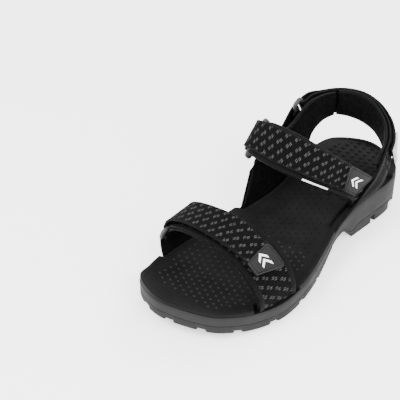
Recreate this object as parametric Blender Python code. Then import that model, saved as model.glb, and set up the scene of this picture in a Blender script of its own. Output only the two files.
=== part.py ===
"""Strappy sport sandal, left foot, EU 42.

Own frame: +Y towards the toe, +X towards the inner (medial) side of the foot, +Z up.
The origin is under the middle of the sandal's box, on the ground.
All sizes below are millimetres; MM turns them into Blender's metres.
"""
import bpy
import bmesh
from bisect import bisect_right
from math import cos, pi, sin
from mathutils import Vector

MM = 0.001

# Sole -------------------------------------------------------------------------------------
HALF_LENGTH = 142.5
HEEL_TIP = (0.0, -HALF_LENGTH)
TOE_TIP = (8.0, HALF_LENGTH)
# (y, distance of the edge from the long axis), heel to toe
LATERAL_EDGE = ((-128, 34.4), (-105, 44.3), (-70, 43.4), (-35, 42.3), (0, 49.6),
                (35, 58.1), (65, 60.3), (90, 55.0), (112, 44.7), (130, 28.3))
MEDIAL_EDGE = ((-128, 30.1), (-105, 37.7), (-70, 37.8), (-35, 36.9), (0, 45.0),
               (35, 49.9), (65, 52.1), (90, 51.4), (112, 46.5), (130, 39.1))
HEEL_RIM = 36.5          # top edge of the sole at the heel
FORE_RIM = 20.1          # and under the ball of the foot
RIM_FALL = (-80.0, 23.0) # the stretch over which it comes down
TOE_SPRING = 12.4        # lift of the toe off the ground
SPRING_START = 62.7
ARCH_LIFT = 12.0         # height of the waist over the ground
ARCH_FRONT = (14.0, -26.0)
ARCH_REAR_LATERAL = (-36.0, -53.0)
ARCH_REAR_MEDIAL = (-50.0, -76.0)
FORE_LUG = 5.0           # tread depth at the front, the waist and the heel
WAIST_LUG = 3.0
HEEL_LUG = 9.0
LUG_THINS = (12.0, -12.0)
LUG_DEEPENS = (-46.0, -62.0)
PLATE = 2.0              # rubber above the tread
FOOTBED_EDGE = 4.0
FOOTBED_DISH = 3.0
GAP = 0.3                # clearance between pieces that touch
ROWS = 24                # stations along the sole
STATIONS = 26            # stations along a strap

# Stretches of the footbed's edge (y) that step in to let the uppers past, -1 lateral, 1 medial
STRAP_WINDOWS = {-1: ((51.0, 96.5), (-109.0, -23.0)), 1: ((43.0, 94.0), (-91.0, 0.5))}
WINDOW_STEP = 0.7

# Lugs: (x, y, radius); edge lugs run out to the sole's side by LUG_REACH and are cut off there
MEDIAL_LUGS = ((30, 126, 8.5), (36, 103, 10.5), (38, 75, 12.5), (37, 44, 12.5), (31, 12, 12.5),
               (22, -91, 11), (20, -116, 10.5))
LATERAL_LUGS = ((-9, 129, 7.5), (-27, 116, 9), (-40, 91, 11), (-46, 62, 12.5), (-44, 31, 12.5),
                (-36, 1, 12), (-29, -67, 12), (-29, -97, 12.5), (-20, -122, 10))
TIP_LUGS = ((12, 134, 7.0), (0, -128, 8.5))
INNER_LUGS = ((8, 109, 11.5), (-13, 91, 11.5), (13, 82, 13), (-18, 61, 13.5), (10, 52, 13), (-16, 31, 13),
              (8, 22, 13), (-10, 1, 13), (12, -8, 11), (-18, -27, 12), (8, -35, 12), (-4, -60, 12),
              (20, -65, 9), (-2, -87, 12), (0, -108, 7.5))
LUG_SIDES = 14
LUG_REACH = 16.0

# Straps -----------------------------------------------------------------------------------
WEB = 1.6                # thickness of every woven or synthetic strap layer
LINING = 2.0
PILE = 0.8               # hook and loop patches
BAR = 1.7                # radius of a ring's bars
BAR_SPREAD = 9.5         # distance between a ring's two bars
BAR_LIFT = 2.0           # a strap's bar lies this far above the strap's outer face
FLAP_LIFT = 3.3          # middle of the flap above the same face, where it is fastened
FLAP_LIFT_AT_RING = 2 * BAR_LIFT + WEB / 2
TAB = 1.5
SLOT = 7.8               # how far the footbed's edge steps in where straps pass it
INSTEP_ANCHOR_FOOT = 39.4   # x of the short anchor's stitched end
INSTEP_ANCHOR_LENGTH = 16.0

# Edge curves of the straps' outer faces: (x, y, z), first edge is the rear or lower one
FOREFOOT_REAR = ((-59.2, 54, 16.3), (-57.5, 53.5, 28), (-48.5, 52, 42), (-33, 51, 52.5), (-15, 51, 58.5),
                 (5, 51, 60), (25, 51, 57.5), (38, 50.5, 54), (47, 50, 48.5), (50.5, 50, 41))
FOREFOOT_FRONT = ((-53.6, 93, 18.1), (-52.4, 93, 28), (-43.5, 91.5, 39), (-30, 89.5, 47.5), (-13, 88, 52.5),
                  (5, 87, 54.5), (25, 87, 55), (38, 87, 52.5), (46.5, 87, 47.5), (50, 87, 40.5))
INSTEP_REAR = ((-40.6, -83, 33.8), (-41, -79, 48.5), (-39.5, -66, 60), (-32, -50, 75), (-20, -34, 90.5),
               (-4, -22, 103), (10, -17, 107.5), (22, -18, 107), (31.5, -20, 104), (36.5, -23.5, 100),
               (38, -28.5, 96))
INSTEP_FRONT = ((-39.9, -50, 30.4), (-40.8, -48, 41), (-39.5, -42, 48), (-32, -28, 60), (-20, -12, 72.5),
                (-4, -3, 79.5), (10, 1, 83), (22, 1.5, 84), (31.5, 0.5, 82.5), (36.5, -1.5, 80),
                (38, -6.5, 75.5))
HEEL_LOW = ((-41.4, -104.6, 41), (-34.5, -117.5, 46), (-22, -129, 50.5), (-9, -136, 54.5), (3, -138.5, 57),
            (13, -137, 59.5), (23, -131, 62.5), (31.5, -121, 65.5), (37, -110, 67.5), (39.7, -104, 69.5),
            (40.5, -97, 68.5))
HEEL_HIGH = ((-41.3, -95.8, 65.8), (-36, -111, 70), (-24, -127.5, 74), (-9, -137, 79.5), (3, -139, 84),
             (13, -137, 87), (23, -131.5, 88.7), (31.5, -122, 89.8), (37, -109, 91), (39.7, -97, 92.5),
             (40.5, -85, 90.5))
PAD_LOW_START = (-38.4, -94, 37.5)
PAD_HIGH_START = (-38.8, -87.5, 57)
PAD = 4.0                # heel pad thickness

# Side panels: where their lower edges pass along the sole (y), and their upper edges (x, y, z)
QUARTER_BASE = (-2, -14, -28, -42, -56, -70, -82)
QUARTER_TOP = ((39.3, -9, 56), (38.7, -20, 63.5), (38.2, -31, 73), (38, -43, 80), (37.8, -57, 76.5),
               (37.8, -68, 69), (38, -80, 50))
LINING_BASE = (-3, -14, -28, -42, -56, -70, -80)
LINING_ARM = ((35.3, -86, 40.5), (35.2, -93, 56.5), (33.7, -106, 63.5), (30.4, -115.8, 65.5))
LINING_TOP = ((34.8, -9, 68), (34.8, -20, 78), (34.8, -32, 86), (35.2, -45, 82), (35.4, -57, 79.5),
              (35.6, -68, 83.5), (35.6, -78, 89), (35.4, -86, 91), (35, -93, 91.5),
              (33.7, -106, 90.5), (30.4, -115.8, 89.5))
LATERAL_BASE = (-25, -40, -55, -70, -84)
LATERAL_ARM = ((-43.2, -94, 34.5), (-41.5, -104, 40.6))
LATERAL_TOP = ((-43, -29, 26.5), (-43.4, -45, 32.5), (-43.4, -58, 38.5), (-43.4, -69, 44), (-43.4, -79, 49),
               (-42.8, -88, 57.5), (-41.5, -95.2, 65.2))
WEBBING_BASE = (-42, -9)

# The closing straps. s runs along a strap from its fixed end (0) to its ring (1), v across it from the
# first edge to the second. flap_v and tip_v give the v range of a flap and of its tip, loop and hook a
# patch's s and v ranges, tip and tab_end the s of the first and the second edge, ring the widths of the
# strap in it and of its opening.
FOREFOOT = {"edges": (FOREFOOT_REAR, FOREFOOT_FRONT), "heart": (0, 70, 10), "ring": (30, 32), "start": 0.0,
            "flap_v": (0.09, 0.90), "tip_v": (0.20, 0.87),
            "tip": (0.188, 0.232), "tab_end": (0.342, 0.324),
            "loop": ((0.27, 0.75), (0.14, 0.84)), "hook": ((0.36, 0.54), (0.22, 0.82))}
INSTEP = {"edges": (INSTEP_REAR, INSTEP_FRONT), "heart": (0, -40, 30), "ring": (27, 29), "start": 0.0,
          "flap_v": (0.05, 0.90), "tip_v": (0.05, 0.89), "tip": (0.135, 0.172), "tab_end": (0.33, 0.27),
          "loop": ((0.27, 0.75), (0.10, 0.84)), "hook": ((0.34, 0.54), (0.12, 0.82))}
HEEL = {"edges": (HEEL_LOW, HEEL_HIGH), "heart": (0, -95, 75), "ring": (23.5, 25.5), "start": 0.004,
        "flap_v": (0.06, 0.94), "tip": (0.06, 0.03), "tab_end": 0.20,
        "loop": ((0.10, 0.62), (0.12, 0.88)), "hook": ((0.12, 0.36), (0.14, 0.86))}
TIP_NARROWS = (0.36, 0.56)   # s over which a closing flap narrows to its tip
FLAP_END = 0.985         # s where a flap starts its turn round the ring
LINING_INSET = 0.02      # a lining ends this much of s before its strap does
STRAP_END_GAP = 0.4      # clearance between a strap's end and the flap's turn
HEEL_PEEL_AT = 0.47      # s where the heel flap bends when it is peeled off
PEEL_SLIT = 1.2          # gap in the heel flap at that bend, which closes as it opens
PAD_END = 0.735          # s of the heel pad's seam
PAD_V = (0.03, 0.97)

# Layers of a strap, as the height of their middles over the strap's outer face
LINING_LIFT = -WEB - GAP - LINING / 2
LOOP_LIFT = GAP + PILE / 2
HOOK_LIFT = 2 * GAP + 1.5 * PILE
TAB_LIFT = FLAP_LIFT + WEB / 2 + GAP + TAB / 2

# How far in from the sole's edge the uppers stand on the midsole
ANCHOR_INSET = 1.2
QUARTER_INSET = 2.3
LINING_BASE_INSET = 4.2
LATERAL_INSET = 0.4
FOREFOOT_ANCHOR_BASE = (48.5, 90.5)


# Small geometry helpers --------------------------------------------------------------------
def smoothstep(value, start, end):
    t = min(max((value - start) / (end - start), 0.0), 1.0)
    return t * t * (3 - 2 * t)


def catmull(points, closed=False, steps=12):
    """A smooth curve through the points, as a dense list of Vectors."""
    p = [Vector(q) for q in points]
    count = len(p)
    spans = count if closed else count - 1
    curve = []
    for i in range(spans):
        if closed:
            p0, p1, p2, p3 = (p[(i + k) % count] for k in (-1, 0, 1, 2))
        else:
            p0, p1, p2, p3 = (p[min(max(i + k, 0), count - 1)] for k in (-1, 0, 1, 2))
        for k in range(steps):
            t = k / steps
            curve.append(0.5 * (2 * p1 + (p2 - p0) * t + (2 * p0 - 5 * p1 + 4 * p2 - p3) * t * t
                                + (3 * p1 - p0 - 3 * p2 + p3) * t ** 3))
    if not closed:
        curve.append(p[-1])
    return curve


def make_material(name, colour, roughness, metallic=0.0):
    material = bpy.data.materials.new(name)
    material.use_nodes = True
    shader = material.node_tree.nodes["Principled BSDF"]
    shader.inputs["Base Color"].default_value = (*colour, 1.0)
    shader.inputs["Roughness"].default_value = roughness
    shader.inputs["Metallic"].default_value = metallic
    return material


def make_object(name, verts, faces, material, pivot=None, smooth_angle=0.6):
    """A closed mesh from points in millimetres; it hangs on its body's pivot, if it has one."""
    base = pivot.matrix_world.translation if pivot else Vector()
    mesh = bpy.data.meshes.new(name)
    mesh.from_pydata([Vector(v) * MM - base for v in verts], [], faces)
    build = bmesh.new()
    build.from_mesh(mesh)
    bmesh.ops.recalc_face_normals(build, faces=build.faces)
    build.to_mesh(mesh)
    build.free()
    mesh.shade_smooth()
    mesh.set_sharp_from_angle(angle=smooth_angle)
    piece = bpy.data.objects.new(name, mesh)
    piece.data.materials.append(material)
    bpy.context.collection.objects.link(piece)
    piece.parent = pivot if pivot else root
    return piece


def make_pivot(name, place, parent):
    """An empty on a joint's axis, at a place in millimetres."""
    empty = bpy.data.objects.new(name, None)
    empty.empty_display_size = 10 * MM
    bpy.context.collection.objects.link(empty)
    empty.parent = parent
    empty.location = Vector(place) * MM - parent.matrix_world.translation
    bpy.context.view_layer.update()
    return empty


# Sole ---------------------------------------------------------------------------------------
class Outline:
    """The sole's plan outline, with its inward normals."""

    def __init__(self):
        medial = [(x, y) for y, x in MEDIAL_EDGE]
        lateral = [(-x, y) for y, x in LATERAL_EDGE]
        loop = catmull([HEEL_TIP] + medial + [TOE_TIP] + lateral[::-1], closed=True)
        turn = len(loop) // 2
        self.side = {1: loop[:turn + 1], -1: [loop[0]] + loop[:turn - 1:-1]}

    def at(self, side, y, inset=0.0):
        """The edge's point on one side (1 medial, -1 lateral) at y, moved inwards."""
        chain = self.side[side]
        i = min(max(bisect_right([p.y for p in chain], y) - 1, 0), len(chain) - 2)
        a, b = chain[i], chain[i + 1]
        t = min(max((y - a.y) / (b.y - a.y), 0.0), 1.0)
        before, after = chain[max(i - 1, 0)], chain[min(i + 2, len(chain) - 1)]
        along = (after - before).normalized()
        if y <= -HALF_LENGTH or y >= HALF_LENGTH:
            along = Vector((side if y < 0 else -side, 0.0))
        inward = Vector((-along.y, along.x)) * side
        return a.lerp(b, t) + inward * inset


def rim_z(y):
    fall = smoothstep(y, *RIM_FALL)
    spring = max((y - SPRING_START) / (HALF_LENGTH - SPRING_START), 0.0)
    return HEEL_RIM + (FORE_RIM - HEEL_RIM) * fall + TOE_SPRING * spring ** 2


def under_z(y, side):
    """The tread's lowest surface: flat on the ground, lifted at the toe and at the waist."""
    rear = ARCH_REAR_MEDIAL if side > 0 else ARCH_REAR_LATERAL
    arch = ARCH_LIFT * smoothstep(y, *ARCH_FRONT) * (1 - smoothstep(y, *rear))
    spring = max((y - SPRING_START) / (HALF_LENGTH - SPRING_START), 0.0)
    return arch + TOE_SPRING * spring ** 2


def plate_z(y, side):
    thinner = (WAIST_LUG - FORE_LUG) * smoothstep(y, *LUG_THINS)
    deeper = (HEEL_LUG - WAIST_LUG) * smoothstep(y, *LUG_DEEPENS)
    return under_z(y, side) + FORE_LUG + thinner + deeper


def slot_depth(y, side):
    """How far the footbed steps in at y to let the straps past."""
    inside = any(low - 0.01 <= y <= high + 0.01 for low, high in STRAP_WINDOWS[side])
    return SLOT if inside else 0.0


def sole_rows():
    rows = [-HALF_LENGTH * cos(pi * i / ROWS) for i in range(1, ROWS)]
    return sorted(rows)


def sole_slab(name, levels, material, windows=False):
    """A closed slab whose levels are (inset, z function of y and side), lowest first."""
    edges = [e for side in (-1, 1) for window in STRAP_WINDOWS[side] for e in window] if windows else []
    steps = [e + d for e in edges for d in (-WINDOW_STEP, 0.0, WINDOW_STEP)]
    rows = [y for y in sole_rows() if all(abs(y - s) > 1.5 for s in steps)] + steps
    rows.sort()
    loop = [(1, -HALF_LENGTH)] + [(1, y) for y in rows] + [(1, HALF_LENGTH)] + [(-1, y) for y in rows[::-1]]
    verts, faces = [], []
    for inset, height in levels:
        for side, y in loop:
            slot = slot_depth(y, side) if windows else 0.0
            depth = max(inset, slot + 0.3 * inset) if slot else inset
            point = outline.at(side, y, depth)
            verts.append((point.x, point.y, height(point.y, side)))
    size, n = len(loop), len(rows)
    for level in range(len(levels) - 1):
        low = level * size
        for i in range(size):
            j = (i + 1) % size
            faces.append((low + i, low + j, low + size + j, low + size + i))
    for low in (0, (len(levels) - 1) * size):
        lateral = [low] + [low + size - i for i in range(1, n + 1)] + [low + n + 1]
        faces.append((low, low + 1, lateral[1]))
        faces += [(low + i, low + i + 1, lateral[i + 1], lateral[i]) for i in range(1, n)]
        faces.append((low + n, low + n + 1, lateral[n]))
    return make_object(name, verts, faces, material)


def lug_prism(x, y, radius, outward):
    """A round lug's vertical prism; an edge lug is stretched towards the sole's side."""
    points = []
    for i in range(LUG_SIDES):
        spoke = Vector((cos(2 * pi * i / LUG_SIDES), sin(2 * pi * i / LUG_SIDES)))
        stretch = outward if spoke.dot(outward) > 0 else Vector((0, 0))
        points.append(Vector((x, y)) + spoke * radius + stretch)
    return points


def make_lugs(material):
    """All lugs as separate prisms, cut to the tread's envelope by a Boolean."""
    prisms = []
    for side, group in ((1, MEDIAL_LUGS), (-1, LATERAL_LUGS)):
        for x, y, radius in group:
            edge = outline.at(side, y)
            inner = outline.at(side, y, 1.0)
            prisms.append(lug_prism(x, y, radius, (edge - inner).normalized() * LUG_REACH))
    prisms += [lug_prism(x, y, r, Vector((0, LUG_REACH if y > 0 else -LUG_REACH))) for x, y, r in TIP_LUGS]
    prisms += [lug_prism(x, y, r, Vector((0, 0))) for x, y, r in INNER_LUGS]
    verts, faces = [], []
    for prism in prisms:
        start, n = len(verts), len(prism)
        verts += [(p.x, p.y, -10) for p in prism] + [(p.x, p.y, 60) for p in prism]
        faces += [tuple(start + i for i in range(n))[::-1], tuple(start + n + i for i in range(n))]
        faces += [(start + i, start + (i + 1) % n, start + n + (i + 1) % n, start + n + i) for i in range(n)]
    return make_object("lug_prisms", verts, faces, material)


def make_guide(piece):
    piece.hide_render = True
    piece.display_type = "WIRE"


def add_boolean(piece, other, operation):
    modifier = piece.modifiers.new(operation.lower(), "BOOLEAN")
    modifier.object = other
    modifier.operation = operation
    modifier.solver = "EXACT"
    modifier.use_self = True


def make_sole(mats):
    overlap = 0.7
    plate = sole_slab("outsole", ((1.8, plate_z), (1.2, lambda y, s: plate_z(y, s) + PLATE)), mats["rubber"])
    envelope = sole_slab("tread_envelope",
                         ((2.4, under_z), (1.8, lambda y, s: plate_z(y, s) + overlap)), mats["rubber"])
    lugs = make_lugs(mats["rubber"])
    add_boolean(lugs, envelope, "INTERSECT")
    add_boolean(plate, lugs, "UNION")
    make_guide(envelope)
    make_guide(lugs)

    def joint(y, side):
        return plate_z(y, side) + PLATE + GAP

    def ledge(y, side):
        return rim_z(y) - FOOTBED_EDGE - GAP

    def pan(y, side):
        return ledge(y, side) - FOOTBED_DISH

    sole_slab("midsole", ((1.2, joint), (0.0, lambda y, s: 0.5 * (joint(y, s) + ledge(y, s))), (0.4, ledge),
                          (9.0, ledge), (13.0, pan)), mats["foam"])
    sole_slab("footbed", ((13.3, lambda y, s: pan(y, s) + GAP), (9.3, lambda y, s: ledge(y, s) + GAP),
                          (0.6, lambda y, s: ledge(y, s) + GAP), (0.6, lambda y, s: rim_z(y) - 0.8),
                          (1.8, lambda y, s: rim_z(y)), (7.4, lambda y, s: rim_z(y) - 1.2),
                          (14.0, lambda y, s: rim_z(y) - FOOTBED_DISH + 0.6)), mats["footbed"], windows=True)


# Straps -------------------------------------------------------------------------------------
class Strip:
    """A ruled strap surface between two edge curves, held as a row of evenly spaced stations.

    s runs along the strap and v across it, both 0 to 1. Every layer of a strap lies on the same
    stations, so that the facets of stacked layers stay parallel.
    """

    def __init__(self, first, second, heart):
        a, b = catmull(first), catmull(second)
        middle = [(p + q) / 2 for p, q in zip(a, b)]
        length = [0.0]
        for p, q in zip(middle, middle[1:]):
            length.append(length[-1] + (q - p).length)
        self.length = length[-1]
        self.a, self.b = [], []
        for i in range(STATIONS + 1):
            goal = self.length * i / STATIONS
            k = min(max(bisect_right(length, goal) - 1, 0), len(length) - 2)
            t = (goal - length[k]) / (length[k + 1] - length[k])
            self.a.append(a[k].lerp(a[k + 1], t))
            self.b.append(b[k].lerp(b[k + 1], t))
        self.middle = [(p + q) / 2 for p, q in zip(self.a, self.b)]
        self.normals = []
        for i in range(STATIONS + 1):
            along = self.middle[min(i + 1, STATIONS)] - self.middle[max(i - 1, 0)]
            normal = along.cross(self.b[i] - self.a[i]).normalized()
            self.normals.append(normal if normal.dot(self.middle[i] - Vector(heart)) > 0 else -normal)

    def point(self, s, v, lift):
        """The place at s and v, lifted off the outer face; between stations on straight facets."""
        k = min(int(s * STATIONS + 1e-6), STATIONS - 1)
        t = s * STATIONS - k
        ends = [self.a[i].lerp(self.b[i], v) + self.normals[i] * lift for i in (k, k + 1)]
        return ends[0].lerp(ends[1], t)

    def layer(self, start, end, lift, thickness, v=(0.0, 1.0)):
        """Sections of a layer whose middle is lifted by lift. An end is one s, or one for each edge.

        The lift and the span v across the strap may be functions of s."""
        low, high = (e if isinstance(e, tuple) else (e, e) for e in (start, end))
        rise = lift if callable(lift) else (lambda s: lift)
        span = v if callable(v) else (lambda s: v)
        between = [i / STATIONS for i in range(STATIONS + 1)
                   if max(low) + 0.01 < i / STATIONS < min(high) - 0.01]
        stops = [low] + [(s, s) for s in between] + [high]
        sections = []
        for s0, s1 in stops:
            v0, v1 = span(s0)[0], span(s1)[1]
            under, over = -thickness / 2, thickness / 2
            sections.append((self.point(s0, v0, rise(s0) + under), self.point(s1, v1, rise(s1) + under),
                             self.point(s1, v1, rise(s1) + over), self.point(s0, v0, rise(s0) + over)))
        return sections

    def end_frame(self):
        """Middle, direction along, direction across and normal at s = 1."""
        across = (self.b[-1] - self.a[-1]).normalized()
        normal = self.normals[-1]
        along = across.cross(normal)
        if along.dot(self.middle[-1] - self.middle[-4]) < 0:
            along = -along
        return self.middle[-1], along, across, normal


def section(a, b, normal, thickness):
    """The four corners of a band's section about its middle edge points."""
    half = normal.normalized() * thickness / 2
    return (a - half, b - half, b + half, a + half)


def fold_sections(centre, across, half_width, radius, first, turn, count=7):
    """Sections of a round fold about a bar: from direction first, turning towards direction turn."""
    sections = []
    for i in range(count + 1):
        angle = pi * i / count
        spoke = first * cos(angle) + turn * sin(angle)
        middle = centre + spoke * radius
        sections.append(section(middle - across * half_width, middle + across * half_width, spoke, WEB))
    return sections


def make_band(name, sections, material, pivot=None):
    """A closed solid band through sections of four corners, split along matching diagonals."""
    verts = [corner for four in sections for corner in four]
    faces = []
    for base in range(0, 4 * (len(sections) - 1), 4):
        a0, b0, b1, a1 = range(base, base + 4)
        faces += [(a0, b0, b0 + 4), (a0, b0 + 4, a0 + 4), (a1, a1 + 4, b1 + 4), (a1, b1 + 4, b1)]
        faces += [(b0, b1, b1 + 4, b0 + 4), (a1, a0, a0 + 4, a1 + 4)]
    last = 4 * (len(sections) - 1)
    faces += [(3, 2, 1, 0), (last, last + 1, last + 2, last + 3)]
    return make_object(name, verts, faces, material, pivot)


class Ring:
    """A rectangular ring: the strap turns back round one bar, its anchor holds the other."""

    def __init__(self, name, strip, width, inner_width, material, root_pivot):
        middle, self.along, self.across, self.normal = strip.end_frame()
        self.strap_bar = middle + self.normal * BAR_LIFT
        self.anchor_bar = self.strap_bar + self.along * BAR_SPREAD
        self.half = width / 2
        self.radius = BAR_LIFT + WEB / 2
        self.pivot = make_pivot(name + "_pivot", self.anchor_bar, root_pivot)
        self.flap_pivot = make_pivot(name.replace("ring", "flap") + "_pivot", self.strap_bar, self.pivot)
        self.make(name, inner_width / 2 + BAR, material)

    def make(self, name, reach, material):
        corner, corner_steps, sides = 3.0, 3, 8
        centre = (self.strap_bar + self.anchor_bar) / 2
        depth = BAR_SPREAD / 2
        path = []
        for sx, sy, start in ((1, 1, 0), (-1, 1, 1), (-1, -1, 2), (1, -1, 3)):
            for k in range(corner_steps + 1):
                angle = pi / 2 * (start + k / corner_steps)
                spoke = self.across * cos(angle) + self.along * sin(angle)
                heart = centre + self.across * sx * (reach - corner) + self.along * sy * (depth - corner)
                path.append((heart + spoke * corner, spoke))
        verts, faces = [], []
        for middle, spoke in path:
            for k in range(sides):
                angle = 2 * pi * k / sides
                verts.append(middle + (spoke * cos(angle) + self.normal * sin(angle)) * BAR)
        total = len(path)
        for i in range(total):
            j = (i + 1) % total
            for k in range(sides):
                m = (k + 1) % sides
                faces.append((i * sides + k, i * sides + m, j * sides + m, j * sides + k))
        make_object(name, verts, faces, material, self.pivot, smooth_angle=1.0)

    def flap_fold(self):
        """The flap's turn round the strap bar, from the flap's side to under the bar."""
        return fold_sections(self.strap_bar, self.across, self.half, self.radius, self.normal, self.along)

    def anchor_fold(self):
        """The anchor's turn round its own bar, from its outer leg to its inner tail."""
        return fold_sections(self.anchor_bar, self.across, self.half, self.radius, self.normal, -self.along)

    def anchor_leg(self, base, count):
        """Sections from a base edge up to the outer side of the anchor bar."""
        top = self.anchor_bar + self.normal * self.radius + self.along * 2.0
        ends = (top - self.across * self.half, top + self.across * self.half)
        sections = []
        for i in range(count + 1):
            t = i / count
            a, b = base[0].lerp(ends[0], t), base[1].lerp(ends[1], t)
            sections.append(section(a, b, Vector((1, 0, 0)).lerp(self.normal, t), WEB))
        return sections

    def anchor_tail(self, length):
        """The inner tail's end, past the anchor bar."""
        end = self.anchor_bar - self.normal * self.radius + self.along * length
        return [section(end - self.across * self.half, end + self.across * self.half, -self.normal, WEB)]


def flap_rise(s):
    """The flap's middle above the strap's outer face: higher where it leaves the ring."""
    return FLAP_LIFT + (FLAP_LIFT_AT_RING - FLAP_LIFT) * smoothstep(s, 0.8, 0.97)


def base_point(side, y, inset, lift=0.1):
    """Where a strap or a panel stands on the midsole's ledge."""
    edge = outline.at(side, y, inset)
    return Vector((edge.x, edge.y, rim_z(edge.y) - FOOTBED_EDGE + lift))


def flap_span(spec):
    """The v range of a flap at each s: its tip is narrower than its body."""
    def span(s):
        t = smoothstep(s, *TIP_NARROWS)
        return tuple(tip + (body - tip) * t for tip, body in zip(spec["tip_v"], spec["flap_v"]))
    return span


def make_strap_layers(name, strip, spec, mats):
    """The strap on the sandal's side of the ring: its woven base and the loop patch on it."""
    clear = 1 - (BAR_LIFT + WEB + STRAP_END_GAP) / strip.length
    make_band(name + "_strap", strip.layer(spec["start"], clear, -WEB / 2, WEB), mats["textile"])
    s_range, v_range = spec["loop"]
    make_band(name + "_loop_patch", strip.layer(*s_range, LOOP_LIFT, PILE, v=v_range), mats["pile"])
    return clear


def make_closing_strap(name, spec, mats):
    """A strap over the foot: base, lining, ring, and the flap that folds back over the base."""
    strip = Strip(*spec["edges"], spec["heart"])
    clear = make_strap_layers(name, strip, spec, mats)
    lining = strip.layer(LINING_INSET, clear - LINING_INSET, LINING_LIFT, LINING)
    make_band(name + "_lining", lining, mats["lining"])
    ring = Ring(name + "_ring", strip, *spec["ring"], mats["plastic"], root)
    flap = strip.layer(spec["tip"], FLAP_END, flap_rise, WEB, v=flap_span(spec))
    make_band(name + "_flap", flap + ring.flap_fold(), mats["textile"], ring.flap_pivot)
    s_range, v_range = spec["hook"]
    hook = strip.layer(*s_range, HOOK_LIFT, PILE, v=v_range)
    make_band(name + "_hook_patch", hook, mats["pile"], ring.flap_pivot)
    tab = strip.layer(spec["tip"], spec["tab_end"], TAB_LIFT, TAB, v=spec["tip_v"])
    make_band(name + "_pull_tab", tab, mats["tab"], ring.flap_pivot)
    return ring


def make_forefoot(mats):
    ring = make_closing_strap("forefoot", FOREFOOT, mats)
    foot = [base_point(1, y, ANCHOR_INSET) for y in FOREFOOT_ANCHOR_BASE]
    sections = ring.anchor_leg(foot, 4) + ring.anchor_fold() + ring.anchor_tail(6)
    make_band("forefoot_ring_anchor", sections, mats["webbing"])


def make_instep(mats):
    ring = make_closing_strap("instep", INSTEP, mats)
    foot = ring.anchor_bar + ring.along * INSTEP_ANCHOR_LENGTH
    foot.x = INSTEP_ANCHOR_FOOT
    leg = ring.anchor_leg((foot - ring.across * ring.half, foot + ring.across * ring.half), 2)
    make_band("instep_ring_anchor", leg + ring.anchor_fold() + ring.anchor_tail(5), mats["webbing"])


def make_heel(mats):
    """The strap round the heel; its flap is in two pieces, because it bends as it is peeled off."""
    strip = Strip(*HEEL["edges"], HEEL["heart"])
    make_strap_layers("heel", strip, HEEL, mats)
    pad = strip.layer(0.0, PAD_END, -WEB - GAP - PAD / 2, PAD, v=PAD_V)
    foot = section(Vector(PAD_LOW_START), Vector(PAD_HIGH_START), Vector((-1, 0, 0)), PAD)
    make_band("heel_pad", [foot] + pad, mats["lining"])
    ring = Ring("heel_ring", strip, *HEEL["ring"], mats["plastic"], root)
    slit = PEEL_SLIT / 2 / strip.length
    body = strip.layer(HEEL_PEEL_AT + slit, FLAP_END, flap_rise, WEB, v=HEEL["flap_v"])
    make_band("heel_flap", body + ring.flap_fold(), mats["textile"], ring.flap_pivot)
    bend = strip.point(HEEL_PEEL_AT, 0.5, FLAP_LIFT)
    tip_pivot = make_pivot("heel_flap_tip_pivot", bend, ring.flap_pivot)
    tip = strip.layer(HEEL["tip"], HEEL_PEEL_AT - slit, FLAP_LIFT, WEB, v=HEEL["flap_v"])
    make_band("heel_flap_tip", tip, mats["textile"], tip_pivot)
    s_range, v_range = HEEL["hook"]
    make_band("heel_hook_patch", strip.layer(*s_range, HOOK_LIFT, PILE, v=v_range), mats["pile"], tip_pivot)
    tab = strip.layer(HEEL["tip"], HEEL["tab_end"], TAB_LIFT, TAB, v=HEEL["flap_v"])
    make_band("heel_pull_tab", tab, mats["tab"], tip_pivot)
    leg = ring.anchor_leg([base_point(1, y, ANCHOR_INSET) for y in WEBBING_BASE], 8)
    make_band("heel_webbing", leg + ring.anchor_fold() + ring.anchor_tail(7), mats["webbing"])


def make_quarters(mats):
    """The side panels: a skin and a lining on the inner side, one skin on the outer side."""
    quarter_low = [base_point(1, y, QUARTER_INSET) for y in QUARTER_BASE]
    quarter = Strip(quarter_low, QUARTER_TOP, (0, -40, 50))
    make_band("medial_quarter", quarter.layer(0.0, 1.0, -WEB / 2, WEB), mats["textile"])
    lining_low = [base_point(1, y, LINING_BASE_INSET, 0.7) for y in LINING_BASE]
    lining = Strip(lining_low + [Vector(p) for p in LINING_ARM], LINING_TOP, (0, -60, 60))
    make_band("medial_quarter_lining", lining.layer(0.0, 1.0, -LINING / 2, LINING), mats["lining"])
    lateral_low = [base_point(-1, y, LATERAL_INSET) for y in LATERAL_BASE]
    lateral = Strip(lateral_low + [Vector(p) for p in LATERAL_ARM], LATERAL_TOP, (0, -60, 40))
    make_band("lateral_quarter", lateral.layer(0.0, 1.0, -WEB / 2, WEB), mats["textile"])


def centre_on_ground():
    """Move the whole sandal so that the origin is under the middle of its box."""
    depsgraph = bpy.context.evaluated_depsgraph_get()
    pieces = [piece for piece in bpy.data.objects if piece.type == "MESH" and not piece.hide_render]
    points = [piece.matrix_world @ Vector(corner)
              for piece in pieces for corner in piece.evaluated_get(depsgraph).bound_box]
    low = Vector([min(p[i] for p in points) for i in range(3)])
    high = Vector([max(p[i] for p in points) for i in range(3)])
    root.location = (-(low.x + high.x) / 2, -(low.y + high.y) / 2, -low.z)
    bpy.context.view_layer.update()


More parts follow.
